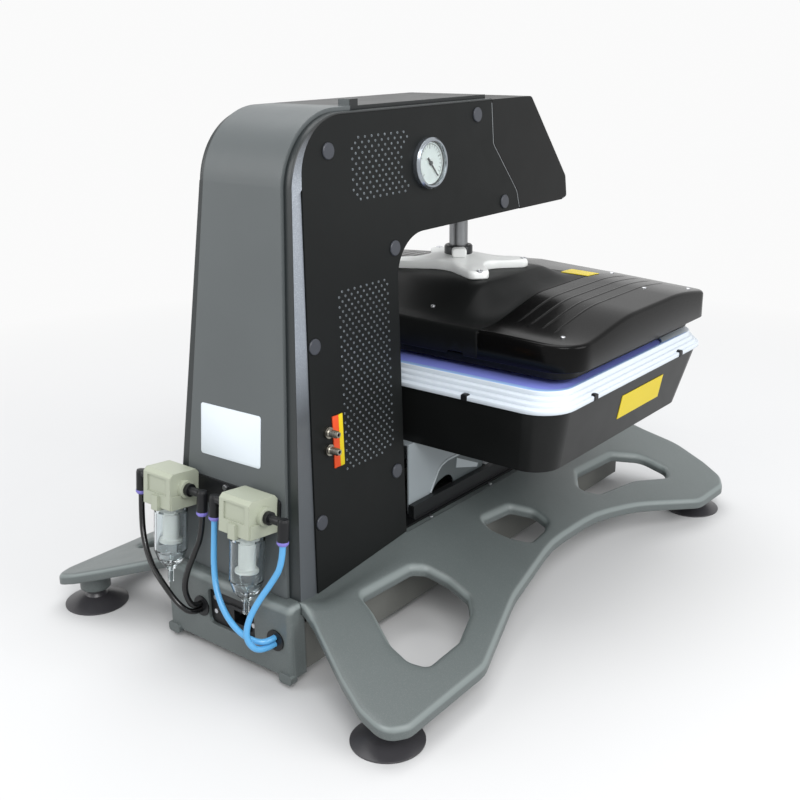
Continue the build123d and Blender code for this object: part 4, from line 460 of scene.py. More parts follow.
# ---- base casting: the CAD deck and skirt, with wings whose rims and windows have soft cast edges
wing = {
    "deckHalf": 95.0, "deckTop": 115.0, "fall": 70.0 / 225.0, "valley": 0.10, "valleyFrom": 149.0, "skin": 5.0,
    "depth": 16.0, "rimRound": 6.5, "windowRound": 9.0, "grid": 13.0,
    "outline": [
        (95, -470, 0), (150, -478, 60), (206, -491, 70), (266, -478, 40), (303, -462, 26), (318.2, -436, 30),
        (316, -352, 55), (257, -240, 260), (231, -150, 240), (229, -25, 260), (263, 130, 220), (315, 276, 55),
        (318.2, 430, 30), (304, 459.9, 24), (266, 456, 40), (222, 437, 60), (136, 391, 40), (112, 389, 0),
        (112, 385, 0), (88.6, 385, 0), (88.6, 149, 0), (95, 149, 0),
    ],
    "windows": [
        [(142, 306, 12), (145, 204, 16), (157, 188, 14), (189, 182, 20), (226, 187, 14), (246, 210, 20),
         (268, 267, 22), (271, 336, 14), (252, 347, 14), (222, 343, 30), (172, 316, 30)],
        [(136, 24, 14), (142, -44, 16), (170, -66, 14), (196, -62, 14), (205, -38, 14), (209, 6, 12), (186, 24, 10),
         (160, 32, 16)],
        [(150, -232, 16), (180, -188, 12), (204, -206, 14), (218, -300, 60), (248, -366, 14), (233, -388, 12),
         (190, -384, 30), (156, -340, 20)],
    ],
}
feet = {"x": 273.3, "y": 415.2, "bossRadius": 21.6, "bossLow": 24.0}


def wingTop(x, y):
    plane = wing["deckTop"] - wing["fall"] * max(0.0, x - wing["deckHalf"])
    dip = wing["valley"] * max(0.0, y - wing["valleyFrom"])
    dip *= (1 - smooth((x - 97) / 38)) * (1 - smooth((y - 336) / 46))
    away = math.hypot(max(0.0, x - 114), max(0.0, 388 - y))
    lift = (wing["deckTop"] - plane) * (1 - smooth(away / 22)) if y > 360 else 0.0
    return plane - dip + lift


def shifted(loop, amount, held=lambda x, y: False):
    count = len(loop)
    moved = []
    for index, here in enumerate(loop):
        line = (loop[(index + 1) % count] - loop[index - 1]).normalized()
        inward = Vector((-line.y, line.x))
        moved.append(here.copy() if held(*here) else here + inward * amount)
    return moved


def wingSeam(x, y):
    return x < 95.1 or (x < 112.1 and y > 384)


def insideLoop(point, loop):
    hit = False
    for a, b in zip(loop, loop[1:] + loop[:1]):
        if (a.y > point.y) != (b.y > point.y) and point.x < (b.x - a.x) * (point.y - a.y) / (b.y - a.y) + a.x:
            hit = not hit
    return hit


def counterClockwise(loop):
    area = sum(a.x * b.y - b.x * a.y for a, b in zip(loop, loop[1:] + loop[:1]))
    return loop if area > 0 else list(reversed(loop))


def divided(loop, longest=14.0):
    points = []
    for a, b in zip(loop, loop[1:] + loop[:1]):
        parts = max(1, math.ceil((b - a).length / longest))
        points += [a.lerp(b, part / parts) for part in range(parts)]
    return points


def wingSheet():
    outer = divided(counterClockwise(roundedOutline(wing["outline"], 7.0)))
    holes = [divided(counterClockwise(roundedOutline(hole, 9.0))) for hole in wing["windows"]]
    edge = shifted(outer, wing["rimRound"], wingSeam)
    mouths = [shifted(hole, -wing["windowRound"]) for hole in holes]
    points = list(edge)
    lines = [(index, (index + 1) % len(edge)) for index in range(len(edge))]
    for mouth in mouths:
        start = len(points)
        lines += [(start + index, start + (index + 1) % len(mouth)) for index in range(len(mouth))]
        points += mouth
    keepIn = shifted(outer, wing["rimRound"] + 4.0)
    keepOut = [shifted(hole, -wing["windowRound"] - 4.0) for hole in holes]
    for column in range(int(240 / wing["grid"]) + 1):
        for row in range(int(960 / wing["grid"]) + 1):
            spot = Vector((88.6 + wing["grid"] * (column + 0.5 * (row % 2)), -492 + wing["grid"] * row))
            if insideLoop(spot, keepIn) and not any(insideLoop(spot, hole) for hole in keepOut):
                points.append(spot)
    made = delaunay_2d_cdt(points, lines, [], 0, 0.00001)
    faces = []
    for face in made[2]:
        middle = sum((made[0][index] for index in face), Vector((0, 0))) / 3
        if insideLoop(middle, edge) and not any(insideLoop(middle, mouth) for mouth in mouths):
            faces.append(face)
    return outer, holes, edge, mouths, made[0], faces, made[3]


def curledEdge(shape, side, outline, start, radius, inward, held, topVerts, underVerts):
    before = topVerts
    for turn in (15, 30, 45, 60, 75, 90):
        angle = math.radians(turn)
        places = shifted(outline, inward * radius * (1 - math.sin(angle)), held)
        drop = radius * (1 - math.cos(angle))
        ring = loopVerts(shape, [at(side * p.x, p.y, wingTop(p.x, p.y) - drop) for p in places])
        bridge(shape, before, ring)
        before = ring
    for amount, drop in ((0.0, wing["depth"] - 1.0), (0.7, wing["depth"]), (wing["skin"] - 0.5, wing["depth"])):
        places = shifted(outline, inward * amount, held)
        ring = loopVerts(shape, [at(side * p.x, p.y, wingTop(p.x, p.y) - drop) for p in places])
        bridge(shape, before, ring)
        before = ring
    bridge(shape, before, underVerts)


def buildWing(shape, side, plan):
    outer, holes, edge, mouths, points, faces, origins = plan
    layers = []
    for drop in (0.0, wing["skin"]):
        verts = [shape.verts.new(at(side * p.x, p.y, wingTop(p.x, p.y) - drop)) for p in points]
        for face in faces:
            shape.faces.new([verts[index] for index in face])
        layers.append(verts)
    place = {}
    for index, sources in enumerate(origins):
        for source in sources:
            place[source] = index
    tops, unders = [[layer[place[index]] for index in range(len(edge))] for layer in layers]
    curledEdge(shape, side, outer, edge, wing["rimRound"], 1, wingSeam, tops, unders)
    start = len(edge)
    for hole, mouth in zip(holes, mouths):
        tops, unders = [[layer[place[start + index]] for index in range(len(mouth))] for layer in layers]
        curledEdge(shape, side, hole, mouth, wing["windowRound"], -1, lambda x, y: False, tops, unders)
        start += len(mouth)
    for sign in (-1, 1):
        low = []
        for radius, z in ((feet["bossRadius"] - 1, feet["bossLow"]), (feet["bossRadius"], feet["bossLow"] + 1), (feet["bossRadius"], 64.0)):
            ring = []
            for index in range(32):
                turn = 2 * math.pi * index / 32
                x, y = feet["x"] + radius * math.cos(turn), sign * feet["y"] + radius * math.sin(turn)
                ring.append(shape.verts.new(at(side * x, y, min(z, wingTop(x, y) - 3))))
            if low:
                bridge(shape, low, ring)
            else:
                shape.faces.new(ring)
            low = ring


def keptOfCasting(face):
    middle = face.calc_center_median() / mm
    x, y, z = abs(middle.x), middle.y - back / mm, middle.z
    if y > 383.9 and x < 116.1:
        return True
    if 97.9 < x < 108.1 and z < 110 and any(abs(y - boss) < 9.1 for boss in (-420, -240, -40, 130)):
        return True
    return x < 95.2 and not (y > 149.2 and x > 88.95)


def buildCasting():
    shape = bmesh.new()
    shape.from_mesh(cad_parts["base_casting"].data)
    gone = [face for face in shape.faces if not keptOfCasting(face)]
    bmesh.ops.delete(shape, geom=gone, context="FACES")
    for face in shape.faces:
        face.material_index = 0
    plan = wingSheet()
    wings = bmesh.new()
    for side in (-1, 1):
        buildWing(wings, side, plan)
    bmesh.ops.remove_doubles(wings, verts=wings.verts, dist=0.00001)
    bmesh.ops.recalc_face_normals(wings, faces=wings.faces)
    spare = bpy.data.meshes.new("wingParts")
    wings.to_mesh(spare)
    wings.free()
    shape.from_mesh(spare)
    bpy.data.meshes.remove(spare)
    addPiece("baseCasting", shape, [castPaint], "machine", ["base_casting"], sharp=38.0)


buildCasting()

# ---- perforated side covers, one sheet a side with punched rims round its holes
sideSheet = {
    "topHalf": 78.25, "top": 690.4, "splay": math.radians(1.5), "thick": 2.5, "holeOut": 1.55, "holeIn": 0.9,
    "rise": 0.25, "sides": 10,
    "outline": [
        (149.1, 115, 0), (334.0, 96.6, 0), (318, 690.4, 70), (-73.5, 690.4, 3), (-76.8, 631, 8), (-138, 557.6, 10),
        (-145.6, 531, 4), (149.1, 531, 56),
    ],
    "seam": [(-73.5, 687), (-76.8, 632.5), (-78.2, 629), (-136.6, 559.5), (-138.8, 555), (-145.0, 533)],
}
# painted highlight: a thin lighter strip along the seam stands for light caught on the edge
seamHighlight = finish("seamHighlight", (120, 124, 126), rough=0.4, mottle=0.05, grain=900, relief=0.02, soft=0)
ventRim = finish("ventRim", (150, 158, 164), rough=0.36, metal=0.9, mottle=0.05, grain=900, relief=0.02, soft=0)


def upperVent():
    rows = {1: (217.0, 8), 2: (223.0, 9), 3: (229.6, 9), 11: (229.6, 9), 12: (223.0, 9), 13: (217.0, 8)}
    spots = []
    for row in range(1, 14):
        start, count = rows.get(row, (229.6, 8) if row % 2 else (223.0, 8))
        spots += [(start - 12.7 * index, 661.7 - 6.2 * (row - 1)) for index in range(count)]
    return spots


def lowerVent():
    spots = []
    for row in range(38):
        z = 479.0 - 6.27 * row
        start = 171.4 if row % 2 else 177.2
        count = 9 if row % 2 else 8
        for index in range(count):
            y = start + 11.8 * index
            if z > 254 or y > 171 + (256 - z) * 1.5:
                spots.append((y, z))
    return spots


def onSide(side, y, z, out):
    drop = z - sideSheet["top"]
    a = sideSheet["splay"]
    x = sideSheet["topHalf"] + out * math.cos(a) - drop * math.sin(a)
    return at(side * x, y, sideSheet["top"] + out * math.sin(a) + drop * math.cos(a))


def buildSideCover(name, side, node):
    shape = bmesh.new()
    outline = roundedOutline(sideSheet["outline"], 6.0)
    sheets = {}
    rings = {}
    for out, radius in ((0.0, sideSheet["holeOut"]), (-sideSheet["thick"], sideSheet["holeIn"])):
        rim = loopVerts(shape, [onSide(side, y, z, out) for y, z in outline])
        edges = loopEdges(shape, rim)
        holes = []
        for y, z in upperVent() + lowerVent():
            turns = [2 * math.pi * index / sideSheet["sides"] for index in range(sideSheet["sides"])]
            spot = [onSide(side, y + radius * math.cos(t), z + radius * math.sin(t), out) for t in turns]
            holes.append(loopVerts(shape, spot))
            edges += loopEdges(shape, holes[-1])
        bmesh.ops.triangle_fill(shape, use_beauty=True, edges=edges)
        sheets[out] = rim
        rings[out] = holes
    bridge(shape, sheets[0.0], sheets[-sideSheet["thick"]])
    for index, (y, z) in enumerate(upperVent() + lowerVent()):
        before = rings[0.0][index]
        for radius, out in ((1.4, sideSheet["rise"]), (1.05, sideSheet["rise"]), (sideSheet["holeIn"], -0.2)):
            turns = [2 * math.pi * part / sideSheet["sides"] for part in range(sideSheet["sides"])]
            places = [onSide(side, y + radius * math.cos(t), z + radius * math.sin(t), out) for t in turns]
            ring = loopVerts(shape, places)
            bridge(shape, before, ring, 1)
            before = ring
        bridge(shape, before, rings[-sideSheet["thick"]][index])
    # painted highlight along the seam, laid as thin quads just proud of the sheet
    for (y, z), (farY, farZ) in zip(sideSheet["seam"], sideSheet["seam"][1:]):
        corners = [(y + 0.3, z), (y + 1.5, z), (farY + 1.5, farZ), (farY + 0.3, farZ)]
        shape.faces.new(loopVerts(shape, [onSide(side, a, b, 0.12) for a, b in corners])).material_index = 2
    addPiece(name, shape, [blackPanel, ventRim, seamHighlight], "machine", [node])


buildSideCover("sideCoverLeft", -1, "side_cover_left")
buildSideCover("sideCoverRight", 1, "side_cover_right")

# ---- column edge: the bevel that follows the bend between the back cover and the side panels
bend = {"y": 246.5, "z": 603.0, "outer": 89.95, "panelY": 247.6, "panelZ": 620.4, "panelRound": 70.5, "start": -6.0}


def bendSection(side, degrees, y=None):
    t = math.radians(degrees)
    low = max(0.0, degrees)
    panelY = bend["panelY"] + bend["panelRound"] * math.cos(math.radians(low))
    panelZ = bend["panelZ"] + bend["panelRound"] * math.sin(math.radians(low))
    if degrees < 0:
        panelZ = bend["panelZ"] + (612.4 - bend["panelZ"]) * degrees / bend["start"]
    half = 78.25 + (690.4 - panelZ) * 0.02619
    spots = []
    for x, radius in ((75.6, bend["outer"]), (77.2, bend["outer"]), (78.0, bend["outer"] - 0.8)):
        spots.append((x, bend["y"] + radius * math.cos(t), bend["z"] + radius * math.sin(t)))
    spots += [(half - 0.15, panelY, panelZ), (half - 2.4, panelY, panelZ)]
    spots.append((75.6, bend["y"] + 86.5 * math.cos(t), bend["z"] + 86.5 * math.sin(t)))
    return [at(side * x, spotY if y is None else y, z) for x, spotY, z in spots]


def buildBend(side):
    shape = bmesh.new()
    plan = [(bend["start"] + (90 - bend["start"]) * step / 32, None) for step in range(33)]
    plan += [(90, y) for y in (200.0, 150.0, 60.0, -20.0, -73.0)]
    rings = [loopVerts(shape, bendSection(side, *spec)) for spec in plan]
    # slot 0 is the painted shade of the gap along the back cover, slot 1 the bright facet
    slots = [0, 0, 1, 0, 0, 0]
    for low, high in zip(rings, rings[1:]):
        for index, slot in enumerate(slots):
            after = (index + 1) % len(slots)
            shape.faces.new((low[index], low[after], high[after], high[index])).material_index = slot
    shape.faces.new(rings[0])
    shape.faces.new(list(reversed(rings[-1])))
    addPiece("bendTrimLeft" if side < 0 else "bendTrimRight", shape, [gapShade, facetPaint], "machine", sharp=30.0)


buildBend(-1)
buildBend(1)

# ---- heater cover: one arched surface, split by its seam into a matt centre and glossy sides
cover = {
    "half": 300.0, "front": -353.0, "back": 62.0, "frontRound": 24.0, "backRound": 46.0, "low": 357.6, "roll": 5.0,
    "seamX": 150.0, "seamY": -250.0, "seamHalf": 0.45, "seamDeep": 1.6, "crown": 440.9, "wall": 3.0,
    "rear": [(0, 401), (75, 398.5), (200, 397), (241, 395.5), (300, 394)],
    "fore": [(0, 412), (150, 404.5), (288, 396.5), (300, 394.5)],
    "arch": [(0, 421), (150, 421), (200, 417), (250, 413.5), (300, 410.5)],
}
ribs = {"x": (176.0, 197.0, 218.0, 239.0), "y": (-330.0, 12.0), "half": 1.9, "high": 0.6}


def crownHeight(x, y):
    off = abs(x)
    rear, fore, arch = (along(cover[key], off) for key in ("rear", "fore", "arch"))
    climb = smooth((40 - y) / 150)
    fall = max(0.0, min(1.0, (-228 - y) / 125)) ** 1.7
    side = rear + (arch - rear) * climb - (arch - fore) * fall
    pad = smooth((150 - off) / 60) * smooth((50 - y) / 92) * smooth((y + 236) / 56)
    height = side + (cover["crown"] - side) * pad
    taper = smooth((y - ribs["y"][0]) / 30) * smooth((ribs["y"][1] - y) / 30)
    for ribX in ribs["x"]:
        height += ribs["high"] * taper * smooth(1.4 * (1 - abs(off - ribX) / ribs["half"]))
    return height


def edgeGap(x, y):
    round_ = cover["backRound"] if y > -145 else cover["frontRound"]
    ahead = (cover["back"] - y) if y > -145 else (y - cover["front"])
    aside = cover["half"] - abs(x)
    if ahead < round_ and aside < round_:
        return round_ - math.hypot(round_ - ahead, round_ - aside)
    return min(ahead, aside)


def coverHeight(x, y):
    gap = max(0.0, edgeGap(x, y))
    roll = cover["roll"]
    drop = roll - math.sqrt(roll * roll - (roll - gap) ** 2) if gap < roll else 0.0
    seam = cover["seamHalf"] * 1.05
    side = abs(abs(x) - cover["seamX"]) < seam and y > cover["seamY"] - seam
    front = abs(y - cover["seamY"]) < seam and abs(x) < cover["seamX"] + seam
    return crownHeight(x, y) - drop - (cover["seamDeep"] if side or front else 0.0)


def coverColumns():
    half = [0, 20, 40, 55, 70, 80, 90, 98.5, 100.8, 112, 125.2, 127.5, 136, 146, 149.0]
    half += [149.55, 150.0, 150.45, 151.0, 156, 163, 170]
    for ribX in ribs["x"]:
        half += [ribX + step for step in (-2.6, -2.1, -1.6, -1.1, -0.5, 0.5, 1.1, 1.6, 2.1, 2.6)]
    half += [250, 258, 266, 272, 278, 283, 287, 290, 292.5, 294.5, 296, 297.2, 298.2, 299.0, 299.6, 300]
    half = sorted(set(half))
    return [-x for x in reversed(half[1:])] + half


def coverRows(x):
    aside = cover["half"] - abs(x)
    rows = [-329, -322, -315, -308, -300, -290, -280, -270, -262, -255, -251.0, -250.45, -250.0, -249.55, -249.0]
    rows += [-240, -232, -225, -218, -210, -200, -188, -176, -160, -140, -120, -105, -90, -75, -60, -50, -42, -36]
    rows += [-30, -24, -18, -12, -6, 0, 6, 11, 16]
    for key, sign in (("front", -1), ("back", 1)):
        round_ = cover[key + "Round"]
        reach = math.sqrt(max(0.0, round_ ** 2 - max(0.0, round_ - aside) ** 2))
        shares = (0.12, 0.25, 0.38, 0.5, 0.6, 0.7, 0.78, 0.85, 0.9, 0.94, 0.97, 0.985, 1.0)
        start = cover[key] - sign * round_
        rows += [start + sign * reach * share for share in shares]
    return sorted(rows)


def buildCover():
    shape = bmesh.new()
    columns = coverColumns()
    grid = []
    for x in columns:
        grid.append([shape.verts.new(at(x, y, coverHeight(x, y))) for y in coverRows(x)])
    for first, second, x, far in zip(grid, grid[1:], columns, columns[1:]):
        middle = (x + far) / 2
        for a, b, c, d in zip(first, second, second[1:], first[1:]):
            face = shape.faces.new((a, b, c, d))
            y = (a.co.y + d.co.y) / 2 / mm - back / mm
            face.material_index = 1 if abs(middle) < cover["seamX"] and y > cover["seamY"] else 0
    bmesh.ops.remove_doubles(shape, verts=shape.verts, dist=0.00001)
    rim = [edge for edge in shape.edges if len(edge.link_faces) == 1]
    for level, inset in ((cover["low"] + 0.8, 0.0), (cover["low"], 0.8), (cover["low"], cover["wall"]), (372.0, cover["wall"])):
        made = bmesh.ops.extrude_edge_only(shape, edges=rim)
        verts = [item for item in made["geom"] if isinstance(item, bmesh.types.BMVert)]
        rim = [item for item in made["geom"] if isinstance(item, bmesh.types.BMEdge)]
        rim = [edge for edge in rim if len(edge.link_faces) == 1]
        for vert in verts:
            x, y = vert.co.x / mm, (vert.co.y - back) / mm
            notch = smooth((x + 127) / 1.5) * smooth((-99 - x) / 1.5) if y > 50 else 0.0
            groove = 1.0 if abs(abs(x) - cover["seamX"]) < cover["seamHalf"] and y > 0 else 0.0
            vert.co = pulledIn(x, y, inset + groove, level + 4.5 * notch)
        for edge in rim:
            for face in edge.link_faces:
                middle = face.calc_center_median()
                centre = abs(middle.x / mm) < cover["seamX"] and middle.y > 0
                face.material_index = 1 if centre else 0
    for edge in shape.edges:
        if len(edge.link_faces) == 2:
            slots = {face.material_index for face in edge.link_faces}
            edge.smooth = len(slots) == 1
    addPiece("heaterCover", shape, [coverGloss, coverMatte], "press_head",
             ["heater_cover_outer", "heater_cover_centre"], sharp=50.0)


def pulledIn(x, y, inset, z):
    round_ = cover["backRound"] if y > -145 else cover["frontRound"]
    middleX = math.copysign(cover["half"] - round_, x)
    middleY = cover["back"] - round_ if y > -145 else cover["front"] + round_
    cornerX = abs(x) > abs(middleX)
    cornerY = (y > middleY) if y > -145 else (y < middleY)
    away = Vector((x - middleX if cornerX else 0.0, y - middleY if cornerY else 0.0))
    if away.length < 0.001:
        return at(x, y, z)
    reach = round_ if cornerX and cornerY else away.length + edgeGap(x, y)
    away = away.normalized() * (reach - inset)
    return at(middleX + away.x if cornerX else x, middleY + away.y if cornerY else y, z)


buildCover()

# ---- membrane frame: four rounded steps up to a flat top, with a pale blue inner band
tray = {
    "half": 308.0, "front": -350.6, "back": 117.2, "round": 50.0, "mouthHalf": 288.0, "mouthFront": -250.0,
    "mouthBack": 80.0, "mouthRound": 38.0, "low": 316.0, "ledge": 336.0, "top": 340.0, "cornerParts": 10,
}
frameBand = finish("frameBand", (150, 184, 232), rough=0.34, coat=0.1, mottle=0.03, grain=700, relief=0.02, soft=0)


def roundedRing(half, front, rear, radius, parts):
    points = []
    spots = ((half - radius, rear - radius, 0), (-half + radius, rear - radius, 90),
             (-half + radius, front + radius, 180), (half - radius, front + radius, 270))
    for x, y, start in spots:
        for part in range(parts + 1):
            angle = math.radians(start + 90 * part / parts)
            points.append((x + radius * math.cos(angle), y + radius * math.sin(angle)))
    return points


def stepRing(shape, side, rear, fore, z):
    ring = roundedRing(tray["half"] - side, tray["front"] + fore, tray["back"] - rear,
                       max(tray["round"] - side * 0.6, 20), tray["cornerParts"])
    return loopVerts(shape, [at(x, y, z) for x, y in ring])


def buildMembraneFrame():
    shape = bmesh.new()
    steps = [
        (0.6, 0.6, 0.6, 316.0, 0), (0, 0, 0, 316.6, 0), (0, 0, 0, 321.3, 0), (0.4, 0.5, 0.4, 322.1, 0),
        (1.2, 1.4, 1.2, 322.5, 0), (4.2, 7.8, 3.4, 322.7, 0), (4.8, 8.8, 3.9, 323.1, 0), (5.0, 9.0, 4.0, 326.4, 0),
        (5.4, 9.6, 4.4, 327.2, 0), (6.2, 10.6, 5.2, 327.5, 0), (9.2, 16.8, 7.2, 327.8, 0), (9.8, 17.7, 7.8, 328.2, 0),
        (10.0, 18.0, 8.0, 331.8, 0), (10.4, 18.6, 8.4, 332.6, 0), (11.2, 19.6, 9.2, 333.0, 0),
        (13.4, 24.8, 11.4, 333.3, 0), (13.9, 25.8, 11.9, 333.7, 0), (14.0, 26.0, 12.0, 338.6, 0),
        (14.4, 26.5, 12.4, 339.6, 0), (15.2, 27.4, 13.2, 340.0, 0), (15.8, 29.0, 14.0, 340.0, 1),
        (19.2, 36.4, 99.6, 340.0, 1), (19.8, 37.1, 100.4, 339.6, 1), (20.0, 37.2, 100.6, 339.0, 1),
        (20.0, 37.2, 100.6, 336.0, 0), (28.0, 45.2, 108.6, 336.0, 0), (28.0, 45.2, 108.6, 316.0, 0),
    ]
    rings = [stepRing(shape, *step[:4]) for step in steps]
    for low, high, step in zip(rings, rings[1:], steps[1:]):
        bridge(shape, low, high, step[4])
    bridge(shape, rings[-1], rings[0])
    for face in shape.faces:
        if face.material_index == 1 and (face.calc_center_median().y - back) / mm < -262:
            face.material_index = 0
    addPiece("membraneFrame", shape, [framePaint, frameBand], "drawer", ["membrane_frame"], sharp=60.0)


buildMembraneFrame()


# ---- membrane: a silicone sheet pulled flat over the ledge, sagging a little between its edges
def buildMembrane():
    shape = bmesh.new()
    half, front, rear, radius = 287.7, -249.7, 79.7, 37.7
    rings = []
    for share in (1.0, 0.985, 0.96, 0.92, 0.86, 0.78, 0.68, 0.56, 0.42, 0.28, 0.14):
        middle = (front + rear) / 2
        ring = roundedRing(half, front, rear, radius, 8)
        places = []
        for x, y in ring:
            u, v = x * share, middle + (y - middle) * share
            sag = 1.6 * (1 - share ** 2) + 0.12 * math.sin(u / 17.0) * math.sin(v / 23.0 + u / 61.0) * (1 - share)
            places.append(at(u, v, 337.2 - sag))
        rings.append(loopVerts(shape, places))
    for low, high in zip(rings, rings[1:]):
        bridge(shape, low, high)
    shape.faces.new(rings[-1])
    piece = addPiece("membraneSheet", shape, [membraneSkin], "drawer", ["membrane"], sharp=80.0)
    thick = piece.modifiers.new("thickness", "SOLIDIFY")
    thick.thickness = 0.001
    thick.offset = -1.0


buildMembrane()

# ---- screws on the cover, and the bolts in the spider's tips
screwSpots = [(259, 20), (46, 22), (246, -240), (284, -312), (150, -318)]
boltSpots = [(80.0, -44.9), (80.0, -162.9)]


def addHead(shape, x, y, z, radius, high, recess):
    sides = 16
    rings = []
    profile = [(radius, -2.5), (radius, high * 0.45), (radius * 0.86, high * 0.82), (radius * 0.6, high)]
    profile += [(recess, high), (recess * 0.9, high - 1.2)]
    for ringRadius, rise in profile:
        turns = [2 * math.pi * index / sides for index in range(sides)]
        rings.append(loopVerts(shape, [at(x + ringRadius * math.cos(t), y + ringRadius * math.sin(t), z + rise)
                                       for t in turns]))
    for low, high_ in zip(rings, rings[1:]):
        bridge(shape, low, high_)
    shape.faces.new(rings[-1])
    shape.faces.new(list(reversed(rings[0])))


def buildScrews():
    shape = bmesh.new()
    for x, y in screwSpots:
        for side in (-1, 1):
            addHead(shape, side * x, y, coverHeight(side * x, y), 3.6, 1.5, 1.3)
    for x, y in boltSpots:
        for side in (-1, 1):
            addHead(shape, side * x, y, 453.0, 5.2, 0.9, 2.4)
    addPiece("pressScrews", shape, [zincSteel], "press_head", ["press_screws"], sharp=40.0)


buildScrews()


# ---- spider: one smooth white casting, with the collar and the clamp lug at the rod
spider = {
    "y": -103.9, "low": 441.2, "tip": 453.0, "hub": 464.0, "slope": 72.0, "rod": 14.4,
    "tips": [(94.0, 53.0, 11.0), (74.0, 73.0, 11.0)], "valleys": ((44.0, 30.0), (33.0, 46.0)),
    "collar": [(21.5, 460.0), (21.5, 472.5), (20.0, 474.5), (15.5, 475.2), (14.4, 474.5)],
    "lug": {"turn": math.radians(38.0), "half": 11.0, "low": 460.0, "high": 474.0, "out": (15.0, 31.0, 32.5)},
}


def spiderOutline():
    (aX, aY, r), (bX, bY, _) = spider["tips"]
    (valleyX, roundX), (valleyY, roundY) = spider["valleys"]
    rear = [(aX, aY, r), (bX, bY, r), (0, valleyY, roundY), (-bX, bY, r), (-aX, aY, r)]
    fore = [(-x, -y, radius) for x, y, radius in rear]
    corners = rear + [(-valleyX, 0, roundX)] + fore + [(valleyX, 0, roundX)]
    points = roundedOutline(corners, 9.0)
    full = []
    for here, after in zip(points, points[1:] + points[:1]):
        parts = max(1, int((after - here).length / 7))
        full += [here.lerp(after, part / parts) for part in range(parts)]
    return full


def spiderTop(point):
    return spider["tip"] + (spider["hub"] - spider["tip"]) * smooth(1 - point.length / spider["slope"])


def buildSpider():
    shape = bmesh.new()
    outline = spiderOutline()
    levels = [(0.985, None, 0.0), (1.0, None, 1.6)]
    rings = [loopVerts(shape, [at(p.x * share, spider["y"] + p.y * share, spider["low"] + rise) for p in outline])
             for share, _, rise in levels]
    for share, drop in ((1.0, 4.6), (0.994, 2.6), (0.982, 1.1), (0.964, 0.3), (0.94, 0.0), (0.86, 0.0), (0.76, 0.0),
                        (0.64, 0.0), (0.52, 0.0), (0.4, 0.0), (0.3, 0.0)):
        spots = [point * share for point in outline]
        rings.append(loopVerts(shape, [at(p.x, spider["y"] + p.y, spiderTop(p) - drop) for p in spots]))
    for height in (None, spider["low"]):
        spots = [point.normalized() * spider["rod"] for point in outline]
        rings.append(loopVerts(shape, [at(p.x, spider["y"] + p.y, spiderTop(p) if height is None else height)
                                       for p in spots]))
    for low, high in zip(rings, rings[1:] + rings[:1]):
        bridge(shape, low, high)
    turns = [2 * math.pi * part / 40 for part in range(40)]
    profile = spider["collar"] + [(spider["rod"], spider["collar"][0][1])]
    rings = [loopVerts(shape, [at(r * math.cos(t), spider["y"] + r * math.sin(t), z) for t in turns]) for r, z in profile]
    for low, high in zip(rings, rings[1:] + rings[:1]):
        bridge(shape, low, high, 1)
    lug = spider["lug"]
    half, low, high = lug["half"], lug["low"], lug["high"]
    face = roundedOutline([(-half, low, 4.5), (half, low, 4.5), (half, high, 5.5), (-half, high, 5.5)], 15.0)
    rings = []
    for out, share in zip(lug["out"], (1.0, 1.0, 0.86)):
        places = []
        for point in face:
            u, z = point.x * share, (low + high) / 2 + (point.y - (low + high) / 2) * share
            x = u * math.cos(lug["turn"]) - out * math.sin(lug["turn"])
            places.append(at(x, spider["y"] + u * math.sin(lug["turn"]) + out * math.cos(lug["turn"]), z))
        rings.append(loopVerts(shape, places))
    for low, high in zip(rings, rings[1:]):
        bridge(shape, low, high)
    shape.faces.new(rings[-1])
    shape.faces.new(list(reversed(rings[0])))
    addPiece("pressSpider", shape, [spiderPaint, slideSteel], "press_head", ["lift_spider"], sharp=42.0)


buildSpider()

# ---- carriage lips: a painted highlight along the turned edge and on the small lug on each side sheet
carriageLip = {
    "x": 72.0, "proud": 0.9, "wide": 3.2, "line": [(-8, 180), (22, 180), (38, 176), (47, 169), (60, 150), (66, 140.5)],
    "lug": [(-1, 174), (-57, 148), (-54, 142.5), (1, 159)],
}


def buildLips():
    shape = bmesh.new()
    x, proud = carriageLip["x"], carriageLip["proud"]
    line = [Vector(spot) for spot in carriageLip["line"]]
    inner = []
    for index, here in enumerate(line):
        along_ = line[min(index + 1, len(line) - 1)] - line[max(index - 1, 0)]
        inner.append(here - Vector((along_.y, -along_.x)).normalized() * -carriageLip["wide"])
    lug = [Vector(spot) for spot in carriageLip["lug"]]
    for side in (-1, 1):
        for outline in (line + inner[::-1], lug):
            rings = []
            for out in (0.02, proud):
                rings.append(loopVerts(shape, [at(side * (x + out), spot.x, spot.y) for spot in outline]))
            bridge(shape, rings[0], rings[1])
            shape.faces.new(rings[1])
            shape.faces.new(list(reversed(rings[0])))
    bmesh.ops.triangulate(shape, faces=[face for face in shape.faces if len(face.verts) > 4])
    addPiece("carriageLips", shape, [lipHighlight], "drawer", sharp=30.0)


buildLips()

